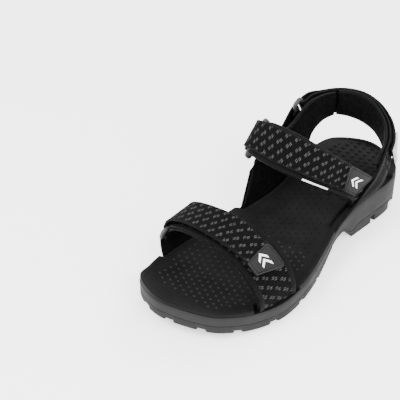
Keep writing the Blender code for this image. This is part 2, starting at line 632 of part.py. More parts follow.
def main():
    mats = {
        "rubber": make_material("outsole_rubber", (0.055, 0.055, 0.058), 0.75),
        "foam": make_material("midsole_foam", (0.09, 0.09, 0.095), 0.65),
        "footbed": make_material("footbed_foam", (0.02, 0.02, 0.021), 0.8),
        "textile": make_material("patterned_textile", (0.03, 0.03, 0.03), 0.85),
        "lining": make_material("padded_lining", (0.015, 0.015, 0.016), 0.9),
        "webbing": make_material("plain_webbing", (0.018, 0.018, 0.019), 0.85),
        "pile": make_material("hook_and_loop", (0.02, 0.02, 0.02), 0.95),
        "plastic": make_material("ring_plastic", (0.25, 0.25, 0.25), 0.4),
        "tab": make_material("tab_rubber", (0.06, 0.06, 0.063), 0.6),
    }
    make_sole(mats)
    make_forefoot(mats)
    make_instep(mats)
    make_heel(mats)
    make_quarters(mats)
    centre_on_ground()


for leftover in list(bpy.data.objects):
    bpy.data.objects.remove(leftover, do_unlink=True)
root = bpy.data.objects.new("sandal", None)
bpy.context.collection.objects.link(root)
bpy.context.view_layer.update()
outline = Outline()
main()
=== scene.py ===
"""Looks of a strappy sport sandal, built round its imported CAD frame.

Every piece is made in millimetres in the sandal's own frame (+Y to the toe, +X to the inner side of
the foot, +Z up) and is moved by SHIFT to the row frame. The straps repeat the CAD model's edge curves.
"""
import random
from bisect import bisect_right
from math import cos, hypot, pi, radians, sin

import bpy
import numpy as np
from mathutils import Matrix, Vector
from mathutils.kdtree import KDTree


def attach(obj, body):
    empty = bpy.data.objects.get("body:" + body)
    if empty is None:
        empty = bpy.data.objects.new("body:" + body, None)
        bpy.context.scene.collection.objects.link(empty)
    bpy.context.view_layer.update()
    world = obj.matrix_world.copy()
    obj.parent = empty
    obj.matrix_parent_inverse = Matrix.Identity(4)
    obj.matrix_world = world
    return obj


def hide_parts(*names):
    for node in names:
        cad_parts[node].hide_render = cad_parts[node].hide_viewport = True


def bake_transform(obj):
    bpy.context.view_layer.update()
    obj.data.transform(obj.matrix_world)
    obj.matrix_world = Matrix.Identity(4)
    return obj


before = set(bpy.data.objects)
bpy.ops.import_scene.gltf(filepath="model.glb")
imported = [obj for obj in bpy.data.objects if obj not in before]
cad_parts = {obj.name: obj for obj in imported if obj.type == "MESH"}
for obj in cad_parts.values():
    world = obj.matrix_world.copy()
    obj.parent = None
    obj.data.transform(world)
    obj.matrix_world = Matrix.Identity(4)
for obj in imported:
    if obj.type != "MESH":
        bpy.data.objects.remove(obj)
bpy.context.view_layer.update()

MM = 0.001
SHIFT = np.array((0.239, 0.260, 0.0))     # the row frame's origin is under the middle of the box

# Camera -----------------------------------------------------------------------------------
CAMERA_AZIMUTH = 220.44
CAMERA_ELEVATION = 36.32
CAMERA_DISTANCE = 0.9931
CAMERA_TARGET = (0.0937, -0.0074, 0.0)
CAMERA_LENS = 98.2

# Sole -------------------------------------------------------------------------------------
HALF_LENGTH = 142.5
HEEL_TIP = (0.0, -HALF_LENGTH)
TOE_TIP = (8.0, HALF_LENGTH)
LATERAL_EDGE = ((-128, 34.4), (-105, 44.3), (-70, 43.4), (-35, 42.3), (0, 49.6),
                (35, 58.1), (65, 60.3), (90, 55.0), (112, 44.7), (130, 28.3))
MEDIAL_EDGE = ((-128, 30.1), (-105, 37.7), (-70, 37.8), (-35, 36.9), (0, 45.0),
               (35, 49.9), (65, 52.1), (90, 51.4), (112, 46.5), (130, 39.1))
HEEL_RIM = 36.5
FORE_RIM = 20.1
RIM_FALL = (-80.0, 23.0)
TOE_SPRING = 12.4
SPRING_START = 62.7
ARCH_LIFT = 12.0
ARCH_FRONT = (14.0, -26.0)
ARCH_REAR = {-1: (-36.0, -53.0), 1: (-50.0, -76.0)}
FORE_LUG = 5.0
WAIST_LUG = 3.0
HEEL_LUG = 9.0
LUG_THINS = (12.0, -12.0)
LUG_DEEPENS = (-46.0, -62.0)
FORE_LUG_SLOT = 2.6
HEEL_LUG_SLOT = 4.6
LUG_EDGE = 0.15            # how far the lugs stay inside the sole's outline
LUG_CHAMFER = 0.7
LUG_TURNS = 64
LUG_RINGS = 12
SKIRT = (0.78, 0.48)       # how far down the lugs' height the skirt reaches, at the heel and at the toe
PLATE = 2.0
FOOTBED_EDGE = 4.0
GAP = 0.3
SLOT = 7.8
STRAP_WINDOWS = {-1: ((51.0, 96.5), (-109.0, -23.0)), 1: ((43.0, 94.0), (-91.0, 0.5))}
SOLE_ROWS = 230
DOT_PITCH = (5.6, 6.6)
DOT_COLUMNS = 11
DOT_ROWS = 10
DOT_SIDES = 8
DOT_RADIUS = 1.25
PIT_RADIUS = 0.85
DOT_INSET = 11.5
DOT_Y = (-50, 122)
DOT_CHANGE_Y = 12
DIMPLE_PITCH = (7.2, 6.4)
DIMPLE_START = (1.0, -60)
DIMPLE_END = -52
DIMPLE_INSET = 13
DIMPLE_DEPTH = 1.3
MEDIAL_LUGS = ((30, 126, 8.5), (36, 103, 10.5), (38, 75, 12.5), (37, 44, 12.5), (31, 12, 12.5),
               (22, -91, 11), (20, -116, 10.5))
LATERAL_LUGS = ((-9, 129, 7.5), (-27, 116, 9), (-40, 91, 11), (-46, 62, 12.5), (-44, 31, 12.5), (-36, 1, 12),
                (-29, -67, 12), (-29, -97, 12.5), (-20, -122, 10))
TIP_LUGS = ((12, 134, 7.0), (0, -128, 8.5))
INNER_LUGS = ((8, 109, 11.5), (-13, 91, 11.5), (13, 82, 13), (-18, 61, 13.5), (10, 52, 13), (-16, 31, 13),
              (8, 22, 13), (-10, 1, 13), (12, -8, 11), (-18, -27, 12), (8, -35, 12), (-4, -60, 12),
              (20, -65, 9),
              (-2, -87, 12), (0, -108, 7.5))

# Straps -----------------------------------------------------------------------------------
WEB = 1.6
LINING = 2.0
PILE = 0.8
BAR = 1.7
BAR_SPREAD = 9.5
BAR_LIFT = 2.0
FOLD = BAR_LIFT + WEB / 2
FLAP_LIFT = 3.3
FLAP_LIFT_AT_RING = 2 * BAR_LIFT + WEB / 2
TAB = 1.5
TAB_GROOVE = 0.5
FLAP_BORDER = 1.6
FLAP_RIM = 0.18            # how far the raised edges of flaps, bindings, anchors and panels stand up
BINDING_RIM = 0.3
ANCHOR_RIM = 0.12
PANEL_RIM = 0.22
LINING_BORDER = 2.6
LINING_CROWN = 0.8
PANEL_CROWN = 0.7
PAD_CROWN = 1.0
STITCH_INSET = 2.4
HOOK_LIFT = 2 * GAP + 1.5 * PILE
STRAP_ROWS = 110
TURN_ROWS = 9
FOLD_ROWS = 12             # rows from the fold's outermost one that may lie in the blend
BLEND_SEED = 4
BLEND_TRIES = 4000
WHITE_BAR = (0.355, 0.54)
WHITE_BAR_V = (0.945, 0.99)
TAB_CORNER = 0.07          # how far a tab's corners are drawn in, as a share of its half size
FOREFOOT_REAR = ((-59.2, 54, 16.3), (-57.5, 53.5, 28), (-48.5, 52, 42), (-33, 51, 52.5), (-15, 51, 58.5),
                 (5, 51, 60), (25, 51, 57.5), (38, 50.5, 54), (47, 50, 48.5), (50.5, 50, 41))
FOREFOOT_FRONT = ((-53.6, 93, 18.1), (-52.4, 93, 28), (-43.5, 91.5, 39), (-30, 89.5, 47.5), (-13, 88, 52.5),
                  (5, 87, 54.5), (25, 87, 55), (38, 87, 52.5), (46.5, 87, 47.5), (50, 87, 40.5))
INSTEP_REAR = ((-40.6, -83, 33.8), (-41, -79, 48.5), (-39.5, -66, 60), (-32, -50, 75), (-20, -34, 90.5),
               (-4, -22, 103), (10, -17, 107.5), (22, -18, 107), (31.5, -20, 104), (36.5, -23.5, 100),
               (38, -28.5, 96))
INSTEP_FRONT = ((-39.9, -50, 30.4), (-40.8, -47.5, 41), (-39.5, -41, 47), (-32, -26, 58.6),
                (-20, -9.6, 70.6),
                (-4, -0.2, 77.4), (10, 3.5, 81), (22, 3.4, 82.4), (31.5, 1.6, 81.6), (36.5, -1, 79.7),
                (38, -6.5, 75.5))
HEEL_LOW = ((-41.4, -104.6, 41), (-34.5, -117.5, 46), (-22, -129, 50.5), (-9, -136, 54.5), (3, -138.5, 57),
            (13, -137, 59.5), (23, -131, 62.5), (31.5, -121, 65.5), (37, -110, 67.5), (39.7, -104, 69.5),
            (40.5, -97, 68.5))
HEEL_HIGH = ((-41.3, -95.8, 65.8), (-36, -111, 70), (-24, -127.5, 74), (-9, -137, 79.5), (3, -139, 84),
             (13, -137, 87), (23, -131.5, 88.7), (31.5, -122, 89.8), (37, -109, 91), (39.7, -97, 92.5),
             (40.5, -85, 90.5))
PAD_LOW_START = (-38.4, -94, 37.5)
PAD_HIGH_START = (-38.8, -87.5, 57)
PAD = 4.0
PAD_END = 0.742
QUARTER_BASE = (-2, -14, -28, -42, -56, -70, -82)
QUARTER_TOP = ((39.3, -9, 56), (38.7, -20, 63.5), (38.2, -31, 73), (38, -43, 80), (37.8, -57, 76.5),
               (37.8, -68, 69), (38, -80, 50))
LINING_BASE = (-3, -14, -28, -42, -56, -70, -80)
LINING_ARM = ((35.3, -86, 40.5), (35.2, -93, 56.5), (33.7, -106, 63.5), (30.4, -115.8, 65.5),
              (28.9, -118.1, 65.8))
LINING_TOP = ((34.8, -9, 68), (34.8, -20, 78), (34.8, -32, 86), (35.2, -45, 82), (35.4, -57, 79.5),
              (35.6, -68, 83.5), (35.6, -78, 89), (35.4, -86, 91), (35, -93, 91.5), (33.7, -106, 90.5),
              (30.4, -115.8, 89.5), (28.9, -118.1, 89.3))
LATERAL_BASE = (-25, -40, -55, -70, -84)
LATERAL_ARM = ((-43.2, -94, 34.5), (-41.5, -104, 40.6))
LATERAL_TOP = ((-43, -29, 26.5), (-43.4, -45, 32.5), (-43.4, -58, 38.5), (-43.4, -69, 44), (-43.4, -79, 49),
               (-42.8, -88, 57.5), (-41.5, -95.2, 65.2))
WEBBING_BASE = (-42, -9)
FOREFOOT_ANCHOR_BASE = (48.5, 90.5)
INSTEP_ANCHOR_FOOT = 39.4
INSTEP_ANCHOR_LENGTH = 16.0
FOREFOOT = {"edges": (FOREFOOT_REAR, FOREFOOT_FRONT), "binding": 4.6, "heart": (0, 70, 10), "ring": (30, 32),
            "flap_v": (0.09, 0.90), "tip_v": (0.20, 0.87),
            "tip": (0.188, 0.232), "tab_end": (0.342, 0.324),
            "loop": ((0.27, 0.75), (0.14, 0.84)), "hook": ((0.36, 0.54), (0.22, 0.82))}
INSTEP = {"edges": (INSTEP_REAR, INSTEP_FRONT), "binding": 4.6, "heart": (0, -40, 30), "ring": (27, 29),
          "flap_v": (0.05, 0.86), "tip_v": (0.05, 0.85),
          "tip": (0.135, 0.172), "tab_end": (0.33, 0.27),
          "loop": ((0.27, 0.75), (0.10, 0.80)), "hook": ((0.34, 0.54), (0.12, 0.79))}
HEEL = {"edges": (HEEL_LOW, HEEL_HIGH), "binding": 3.4, "heart": (0, -95, 75), "ring": (23.5, 25.5),
        "flap_v": (0.06, 0.94), "tip_v": (0.06, 0.94), "tip": (0.06, 0.03), "tab_end": (0.20, 0.20),
        "loop": ((0.10, 0.62), (0.12, 0.88)), "hook": ((0.12, 0.36), (0.14, 0.86))}
TIP_NARROWS = (0.36, 0.56)
FLAP_END = 0.985
HEEL_PEEL_AT = 0.47
HEEL_BEND = 0.05           # half the length of s between two points of the heel flap round its peel, which are worked out but not used
HEEL_SPLIT = 0.70         # s where the two halves of the heel flap meet


# Padding ------------------------------------------------------------------------------------
PUFF_VOXEL = 0.0026
PUFF_FRAMES = 20
PUFF_PRESSURE = 1000.0    # high, because the pieces are small against the stiffness of the cloth
PUFF_STIFFNESS = 5.0
PUFF_MASS = 0.02
PUFF_CAP = 0.0011         # furthest that the simulation may move a padded surface, in metres
SEAM_REACH = 0.0012

# Studio -------------------------------------------------------------------------------------
SENSOR = 36.0
WORLD_LIGHT = 1.7
LIGHTS = (("key", (0.55, 1.05, 1.25), 0.7, 42.0), ("fill", (-0.9, 0.35, 0.8), 0.9, 22.0),
          ("rim", (0.2, -1.2, 1.1), 0.8, 20.0))
FLOOR_HALF = 4
FLOOR_COLOUR = 0.96


# Geometry helpers ---------------------------------------------------------------------------
def smoothstep(value, start, end):
    t = min(max((value - start) / (end - start), 0.0), 1.0)
    return t * t * (3 - 2 * t)


def lerp(a, b, t):
    return a + (b - a) * t


def unit(vector):
    return vector / np.linalg.norm(vector)


def rounded(distance, reach, low):
    """From low at an edge to 1 at reach from it, rising like a quarter circle."""
    return low + (1 - low) * min(distance / reach, 1.0) ** 0.5


def band(low, high, count):
    """Faces between two rings of count points, which start at the indices low and high."""
    return [(low + k, low + (k + 1) % count, high + (k + 1) % count, high + k) for k in range(count)]


def catmull(points, closed=False, steps=12):
    """A smooth curve through the points, as an array of points."""
    p = np.array(points, float)
    count = len(p)
    curve = []
    for i in range(count if closed else count - 1):
        if closed:
            p0, p1, p2, p3 = (p[(i + k) % count] for k in (-1, 0, 1, 2))
        else:
            p0, p1, p2, p3 = (p[min(max(i + k, 0), count - 1)] for k in (-1, 0, 1, 2))
        for k in range(steps):
            t = k / steps
            curve.append(0.5 * (2 * p1 + (p2 - p0) * t + (2 * p0 - 5 * p1 + 4 * p2 - p3) * t * t
                                + (3 * p1 - p0 - 3 * p2 + p3) * t ** 3))
    if not closed:
        curve.append(p[-1])
    return np.array(curve)


def add_piece(name, verts, faces, materials, body, uvs=None, face_slots=None, smooth_angle=0.9):
    """A mesh piece from points in millimetres, in the row frame, smooth apart from its sharp edges."""
    mesh = bpy.data.meshes.new(name)
    mesh.from_pydata(((np.asarray(verts, float) + SHIFT) * MM).tolist(), [], faces)
    for material in materials:
        mesh.materials.append(material)
    if face_slots is not None:
        mesh.polygons.foreach_set("material_index", face_slots)
    if uvs is not None:
        layer = mesh.uv_layers.new(name="cloth")
        corners = np.zeros(len(mesh.loops), np.int32)
        mesh.loops.foreach_get("vertex_index", corners)
        layer.data.foreach_set("uv", np.asarray(uvs, np.float32)[corners].ravel())
    mesh.validate()
    mesh.shade_smooth()
    mesh.set_sharp_from_angle(angle=smooth_angle)
    piece = bpy.data.objects.new(name, mesh)
    bpy.context.scene.collection.objects.link(piece)
    if body:
        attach(piece, body)
    return piece


# Materials ----------------------------------------------------------------------------------
class Shader:
    """A Principled material with short helpers for its procedural nodes."""

    def __init__(self, name, roughness, specular=0.5):
        self.material = bpy.data.materials.new(name)
        self.material.use_nodes = True
        self.tree = self.material.node_tree
        self.shader = self.tree.nodes["Principled BSDF"]
        self.shader.inputs["Roughness"].default_value = roughness
        self.shader.inputs["Specular IOR Level"].default_value = specular

    def node(self, kind, **values):
        made = self.tree.nodes.new(kind)
        for key, value in values.items():
            setattr(made, key, value)
        return made

    def put(self, value, socket):
        if isinstance(value, (int, float)):
            socket.default_value = value
        else:
            self.tree.links.new(value, socket)

    def math(self, operation, a, b=0.0):
        made = self.node("ShaderNodeMath", operation=operation)
        self.put(a, made.inputs[0])
        self.put(b, made.inputs[1])
        return made.outputs[0]

    def add(self, a, b):
        return self.math("ADD", a, b)

    def sub(self, a, b):
        return self.math("SUBTRACT", a, b)

    def mul(self, a, b):
        return self.math("MULTIPLY", a, b)

    def place(self):
        """Object position in metres."""
        return self.node("ShaderNodeTexCoord").outputs["Object"]

    def cloth_uv(self):
        """Millimetres along and across the cloth."""
        source = self.node("ShaderNodeUVMap", uv_map="cloth")
        parts = self.node("ShaderNodeSeparateXYZ")
        self.tree.links.new(source.outputs["UV"], parts.inputs[0])
        return self.mul(parts.outputs[0], 100.0), self.mul(parts.outputs[1], 100.0)

    def noise(self, scale, detail=2.0):
        made = self.node("ShaderNodeTexNoise")
        made.inputs["Scale"].default_value = scale
        made.inputs["Detail"].default_value = detail
        self.tree.links.new(self.place(), made.inputs["Vector"])
        return made.outputs["Fac"]

    def voronoi(self, scale):
        made = self.node("ShaderNodeTexVoronoi")
        made.inputs["Scale"].default_value = scale
        self.tree.links.new(self.place(), made.inputs["Vector"])
        return made.outputs["Distance"]

    def wave(self, value, period):
        """0 to 1 and back over each period of a value."""
        turn = self.math("SINE", self.mul(value, 2 * pi / period))
        return self.add(self.mul(turn, 0.5), 0.5)

    def ramp(self, value, stops):
        made = self.node("ShaderNodeValToRGB")
        elements = made.color_ramp.elements
        while len(elements) < len(stops):
            elements.new(0.5)
        for element, (at, colour) in zip(elements, stops):
            element.position = at
            element.color = (*colour, 1.0)
        self.put(value, made.inputs["Fac"])
        return made.outputs["Color"]

    def mix(self, factor, a, b):
        made = self.node("ShaderNodeMix", data_type="RGBA")
        self.put(factor, made.inputs["Factor"])
        for value, socket in ((a, made.inputs[6]), (b, made.inputs[7])):
            if isinstance(value, tuple):
                socket.default_value = (*value, 1.0)
            else:
                self.tree.links.new(value, socket)
        return made.outputs[2]

    def colour(self, value):
        if isinstance(value, tuple):
            self.shader.inputs["Base Color"].default_value = (*value, 1.0)
        else:
            self.tree.links.new(value, self.shader.inputs["Base Color"])

    def roughness(self, value, low, high):
        made = self.node("ShaderNodeMapRange")
        made.inputs["To Min"].default_value = low
        made.inputs["To Max"].default_value = high
        self.put(value, made.inputs["Value"])
        self.tree.links.new(made.outputs["Result"], self.shader.inputs["Roughness"])

    def bump(self, height, distance, strength=1.0):
        made = self.node("ShaderNodeBump")
        made.inputs["Distance"].default_value = distance
        made.inputs["Strength"].default_value = strength
        self.tree.links.new(height, made.inputs["Height"])
        self.tree.links.new(made.outputs["Normal"], self.shader.inputs["Normal"])

    def box(self, u, v, centre, half, soft=0.18):
        """1 inside a rectangle of u and v, 0 outside."""
        masks = []
        for value, middle, reach in ((u, centre[0], half[0]), (v, centre[1], half[1])):
            away = self.math("ABSOLUTE", self.sub(value, middle))
            made = self.node("ShaderNodeMapRange", interpolation_type="SMOOTHSTEP")
            made.inputs["From Min"].default_value = reach - soft
            made.inputs["From Max"].default_value = reach + soft
            made.inputs["To Min"].default_value = 1.0
            made.inputs["To Max"].default_value = 0.0
            self.put(away, made.inputs["Value"])
            masks.append(made.outputs["Result"])
        return self.mul(*masks)


def weave_height(s, u, v, pitch):
    """A plain weave: threads over and under along both directions."""
    return s.mul(s.wave(u, pitch), s.wave(v, pitch))


def dash_pairs(s, u, v, pitch_u, pitch_v):
    """1 on small motifs of two by two slanted dashes, every other row of them moved by half a pitch."""
    def cell(value, pitch):
        return s.mul(s.sub(s.math("FRACT", s.math("DIVIDE", value, pitch)), 0.5), pitch)

    row = s.math("FLOOR", s.math("DIVIDE", v, pitch_v))
    cu = cell(s.add(u, s.mul(row, pitch_u / 2)), pitch_u)
    cv = cell(v, pitch_v)
    ahead = s.add(s.mul(cu, 0.55), s.mul(cv, 0.835))
    aside = s.sub(s.mul(cu, 0.835), s.mul(cv, 0.55))
    in_mark = s.sub(ahead, s.mul(s.math("SIGN", ahead), 1.45))
    uneven = s.mul(s.sub(s.noise(420.0), 0.5), 1.6)
    slanted = s.math("ABSOLUTE", s.add(s.add(aside, uneven), s.mul(in_mark, 0.45)))
    return s.box(in_mark, slanted, (0.0, 0.68), (1.15, 0.38))


def textile_material():
    """Black woven cloth with rows of small grey dashes in a stagger."""
    s = Shader("strap_textile_look", 0.8, specular=0.05)
    u, v = s.cloth_uv()
    motif = dash_pairs(s, u, v, 8.2, 7.5)
    threads = s.wave(s.add(u, s.mul(v, 0.5)), 0.75)
    broken = s.mul(motif, s.add(s.mul(threads, 0.4), 0.6))
    patchy = s.mul(broken, s.add(s.noise(260.0), 0.4))
    ground = s.ramp(s.noise(900.0), [(0.3, (0.0008, 0.0008, 0.0009)), (0.75, (0.0032, 0.0032, 0.0034))])
    s.colour(s.mix(patchy, ground, (0.062, 0.062, 0.064)))
    height = s.add(weave_height(s, u, v, 0.85), s.mul(motif, 0.8))
    s.bump(height, 0.00022, 0.9)
    s.roughness(s.noise(500.0), 0.68, 0.92)
    return s.material


def binding_material():
    """Plain black edge binding with fine cross ribs."""
    s = Shader("edge_binding_look", 0.62, specular=0.07)
    u, v = s.cloth_uv()
    s.colour(s.ramp(s.noise(420.0), [(0.3, (0.001, 0.001, 0.001)), (0.8, (0.0034, 0.0034, 0.0036))]))
    s.bump(s.add(s.wave(u, 0.7), s.mul(s.wave(v, 0.9), 0.5)), 0.00015, 0.8)
    s.roughness(s.noise(600.0), 0.5, 0.75)
    return s.material


def lining_material():
    """Black brushed knit."""
    s = Shader("padded_lining_look", 0.92, specular=0.04)
    u, v = s.cloth_uv()
    rib = s.wave(s.add(u, s.mul(s.wave(v, 1.6), 0.5)), 1.1)
    s.colour(s.ramp(s.noise(320.0, 4.0), [(0.3, (0.001, 0.001, 0.0011)), (0.75, (0.0038, 0.0038, 0.004))]))
    s.bump(s.add(rib, s.mul(s.noise(1500.0), 0.8)), 0.0002, 0.8)
    s.roughness(s.noise(300.0), 0.82, 0.98)
    return s.material


def webbing_material():
    """Plain black webbing: chevron ribs along its length, with painted shade darkening the troughs between
    the ribs.
    """
    s = Shader("webbing_look", 0.8, specular=0.05)
    u, v = s.cloth_uv()
    zigzag = s.math("PINGPONG", v, 3.0)
    rib = s.wave(s.add(u, zigzag), 1.3)
    # the colour follows the ribs: painted shade in the troughs, while the crests keep the lighter black
    s.colour(s.ramp(rib, [(0.2, (0.0009, 0.0009, 0.0009)), (0.9, (0.0036, 0.0036, 0.0038))]))
    s.bump(s.add(rib, s.mul(s.noise(1200.0), 0.4)), 0.00025, 0.9)
    s.roughness(s.noise(500.0), 0.68, 0.9)
    return s.material


def pile_material():
    s = Shader("hook_and_loop_look", 0.95, specular=0.1)
    grain = s.voronoi(1400.0)
    s.colour(s.ramp(grain, [(0.1, (0.014, 0.014, 0.014)), (0.7, (0.003, 0.003, 0.003))]))
    s.bump(grain, 0.0004, 1.0)
    return s.material


def foam_material(name, dark, light, grain):
    """Moulded foam: fine pebble grain, faint mottling and a fine speckle of its lighter tone."""
    s = Shader(name, 0.7, specular=0.12)
    mottle = s.noise(28.0, 5.0)
    s.colour(s.mix(s.noise(1800.0), s.ramp(mottle, [(0.35, dark), (0.65, light)]), light))
    s.bump(s.add(s.voronoi(grain), s.mul(s.noise(grain * 0.6), 0.7)), 0.00012, 0.6)
    s.roughness(s.noise(90.0, 4.0), 0.55, 0.8)
    return s.material


def footbed_material():
    """Black moulded foam with a fine cloth-like grain and faint lengthwise ribs."""
    s = Shader("footbed_foam_look", 0.75, specular=0.09)
    parts = s.node("ShaderNodeSeparateXYZ")
    s.tree.links.new(s.place(), parts.inputs[0])
    rib = s.wave(s.mul(parts.outputs[0], 1000.0), 2.1)
    grain = s.voronoi(1500.0)
    s.colour(s.ramp(s.noise(60.0, 5.0), [(0.3, (0.0014, 0.0014, 0.0015)), (0.75, (0.0042, 0.0042, 0.0044))]))
    s.bump(s.add(s.mul(rib, 0.35), grain), 0.00012, 0.6)
    s.roughness(s.noise(120.0, 4.0), 0.55, 0.8)
    return s.material


def plain_material(name, colour, roughness, grain=1500.0, depth=0.00008, variation=0.25, specular=0.25):
    s = Shader(name, roughness, specular)
    dark = tuple(c * (1 - variation) for c in colour)
    light = tuple(c * (1 + variation) for c in colour)
    s.colour(s.ramp(s.noise(70.0, 4.0), [(0.3, dark), (0.7, light)]))
    s.bump(s.noise(grain), depth, 0.6)
    s.roughness(s.noise(110.0, 3.0), roughness - 0.08, roughness + 0.1)
    return s.material


MATS = {
    "textile": textile_material(),
    "binding": binding_material(),
    "lining": lining_material(),
    "webbing": webbing_material(),
    "pile": pile_material(),
    "foam": foam_material("midsole_foam_look", (0.0125, 0.0122, 0.0126), (0.0165, 0.0161, 0.0166), 900.0),
    "rubber": foam_material("outsole_rubber_look", (0.0115, 0.0113, 0.0116), (0.0155, 0.0152, 0.0156),
                            1300.0),
    "footbed": footbed_material(),
    "dot": plain_material("footbed_dot_look", (0.0105, 0.0105, 0.0108), 0.5, specular=0.12),
    # the pit material is painted shade: near black, for the small pits under the arch
    "pit": plain_material("footbed_painted_pit_shade_look", (0.0007, 0.0007, 0.0007), 0.8, specular=0.03),
    "ring": plain_material("ring_plastic_look", (0.034, 0.034, 0.035), 0.38, specular=0.25),
    "tab": plain_material("tab_rubber_look", (0.0105, 0.0105, 0.0108), 0.55, specular=0.12),
    "emblem": plain_material("white_print_look", (0.78, 0.78, 0.77), 0.5, variation=0.04),
    "reflective": plain_material("reflective_label_look", (0.42, 0.42, 0.42), 0.35, variation=0.12),
    "thread": plain_material("thread_look", (0.0034, 0.0034, 0.0035), 0.6, specular=0.06),
    "grey_thread": plain_material("grey_thread_look", (0.024, 0.024, 0.024), 0.6, specular=0.1),
}


# Sole ---------------------------------------------------------------------------------------
class Outline:
    """The sole's plan outline, with its inward normals."""

    def __init__(self):
        medial = [(x, y) for y, x in MEDIAL_EDGE]
        lateral = [(-x, y) for y, x in LATERAL_EDGE]
        loop = catmull([HEEL_TIP] + medial + [TOE_TIP] + lateral[::-1], closed=True, steps=40)
        turn = len(loop) // 2
        self.side = {1: loop[:turn + 1], -1: np.vstack([loop[:1], loop[:turn - 1:-1]])}
        self.heights = {side: [p[1] for p in chain] for side, chain in self.side.items()}

    def at(self, side, y, inset=0.0):
        chain = self.side[side]
        i = min(max(bisect_right(self.heights[side], y) - 1, 0), len(chain) - 2)
        a, b = chain[i], chain[i + 1]
        t = min(max((y - a[1]) / (b[1] - a[1]), 0.0), 1.0)
        along = unit(chain[min(i + 3, len(chain) - 1)] - chain[max(i - 2, 0)])
        if y <= -HALF_LENGTH or y >= HALF_LENGTH:
            along = np.array((side if y < 0 else -side, 0.0))
        inward = np.array((-along[1], along[0])) * side
        return lerp(a, b, t) + inward * inset

    def widths(self, inset):
        """Functions of y for the lateral and the medial x of the outline moved in by inset."""
        ys = -HALF_LENGTH * np.cos(np.linspace(0, pi, 161)[1:-1])
        sides = []
        for side in (-1, 1):
            points = np.array([self.at(side, y, inset) for y in ys])
            order = np.argsort(points[:, 1])
            sides.append(points[order])
        return lambda y: tuple(float(np.interp(y, p[:, 1], p[:, 0])) for p in sides)


outline = Outline()
edge_x = outline.widths(0.0)


def spring_z(y):
    return TOE_SPRING * max((y - SPRING_START) / (HALF_LENGTH - SPRING_START), 0.0) ** 2


def rim_z(y):
    return HEEL_RIM + (FORE_RIM - HEEL_RIM) * smoothstep(y, *RIM_FALL) + spring_z(y)


def under_z(y, side):
    return ARCH_LIFT * smoothstep(y, *ARCH_FRONT) * (1 - smoothstep(y, *ARCH_REAR[side])) + spring_z(y)


def plate_z(y, side):
    thinner = (WAIST_LUG - FORE_LUG) * smoothstep(y, *LUG_THINS)
    deeper = (HEEL_LUG - WAIST_LUG) * smoothstep(y, *LUG_DEEPENS)
    return under_z(y, side) + FORE_LUG + thinner + deeper


def between_sides(height, x, y):
    """A height function of y and side, carried straight across from one edge to the other."""
    low, high = edge_x(y)
    t = min(max((x - low) / max(high - low, 1e-6), 0.0), 1.0)
    return lerp(height(y, -1), height(y, 1), t)


def ledge_z(y, side):
    return rim_z(y) - FOOTBED_EDGE - GAP


def joint_z(y, side):
    return plate_z(y, side) + PLATE + GAP


def slot_share(y, side):
    """1 where the footbed steps in for a strap, 0 elsewhere, with a short soft change."""
    return max(smoothstep(y, low - 0.9, low + 0.3) * (1 - smoothstep(y, high - 0.3, high + 0.9))
               for low, high in STRAP_WINDOWS[side])


def sole_slab(name, levels, materials, columns=0, top=None, slots=False, face_slot=None):
    """A closed slab through levels of (inset, height function), with a finely divided top if asked."""
    rows = sorted(set(np.round(-HALF_LENGTH * np.cos(np.linspace(0, pi, SOLE_ROWS)[1:-1]), 3)))
    loop = [(1, -HALF_LENGTH)] + [(1, y) for y in rows] + [(1, HALF_LENGTH)] + [(-1, y) for y in rows[::-1]]
    size, n = len(loop), len(rows)
    verts, faces, face_slots = [], [], []
    for inset, height in levels:
        for side, y in loop:
            share = slot_share(y, side) if slots else 0.0
            depth = inset if share <= 0 else lerp(inset, max(inset, SLOT + 0.3 * inset), share)
            x, py = outline.at(side, y, depth)
            verts.append((x, py, height(py, side)))
    for level in range(len(levels) - 1):
        low = level * size
        faces += band(low, low + size, size)
        face_slots += [face_slot(level) if face_slot else 0] * size
    lateral = [size - i for i in range(1, n + 1)]
    faces.append((0, lateral[0], 1))
    faces += [(i + 1, i, lateral[i - 1], lateral[i]) for i in range(1, n)]
    faces.append((n + 1, n, lateral[n - 1]))
    base = (len(levels) - 1) * size
    grid = []
    for i in range(1, n + 1):
        a, b = np.array(verts[base + size - i]), np.array(verts[base + i])
        line = [base + size - i]
        for c in range(1, columns):
            p = lerp(a, b, c / columns)
            verts.append((p[0], p[1], top(p[0], p[1])))
            line.append(len(verts) - 1)
        grid.append(line + [base + i])
    for line, following in zip(grid, grid[1:]):
        faces += [(line[c], line[c + 1], following[c + 1], following[c]) for c in range(len(line) - 1)]
    faces += [(base, grid[0][c + 1], grid[0][c]) for c in range(len(grid[0]) - 1)]
    faces += [(base + n + 1, grid[-1][c], grid[-1][c + 1]) for c in range(len(grid[-1]) - 1)]
    last_slot = face_slot(len(levels)) if face_slot else 0
    face_slots += [last_slot] * (len(faces) - len(face_slots))
    return add_piece(name, verts, faces, materials, "base", face_slots=face_slots)


def make_midsole():
    def part_way(share):
        return lambda y, s: lerp(joint_z(y, s), ledge_z(y, s), share)

    def below(drop):
        return lambda y, s: ledge_z(y, s) - drop

    levels = ((3.0, joint_z), (0.35, joint_z), (0.2, lambda y, s: joint_z(y, s) + 0.15),
              (0.15, part_way(0.25)), (0.05, part_way(0.5)), (0.0, part_way(0.68)), (0.05, below(1.5)),
              (0.35, below(0.8)), (0.7, below(0.35)), (0.75, below(0.1)), (1.3, ledge_z), (9.0, ledge_z))
    glued = len(levels) - 3
    piece = sole_slab("midsole_body", levels, [MATS["foam"], MATS["footbed"]],
                      face_slot=lambda level: int(level >= glued))
    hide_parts("midsole")


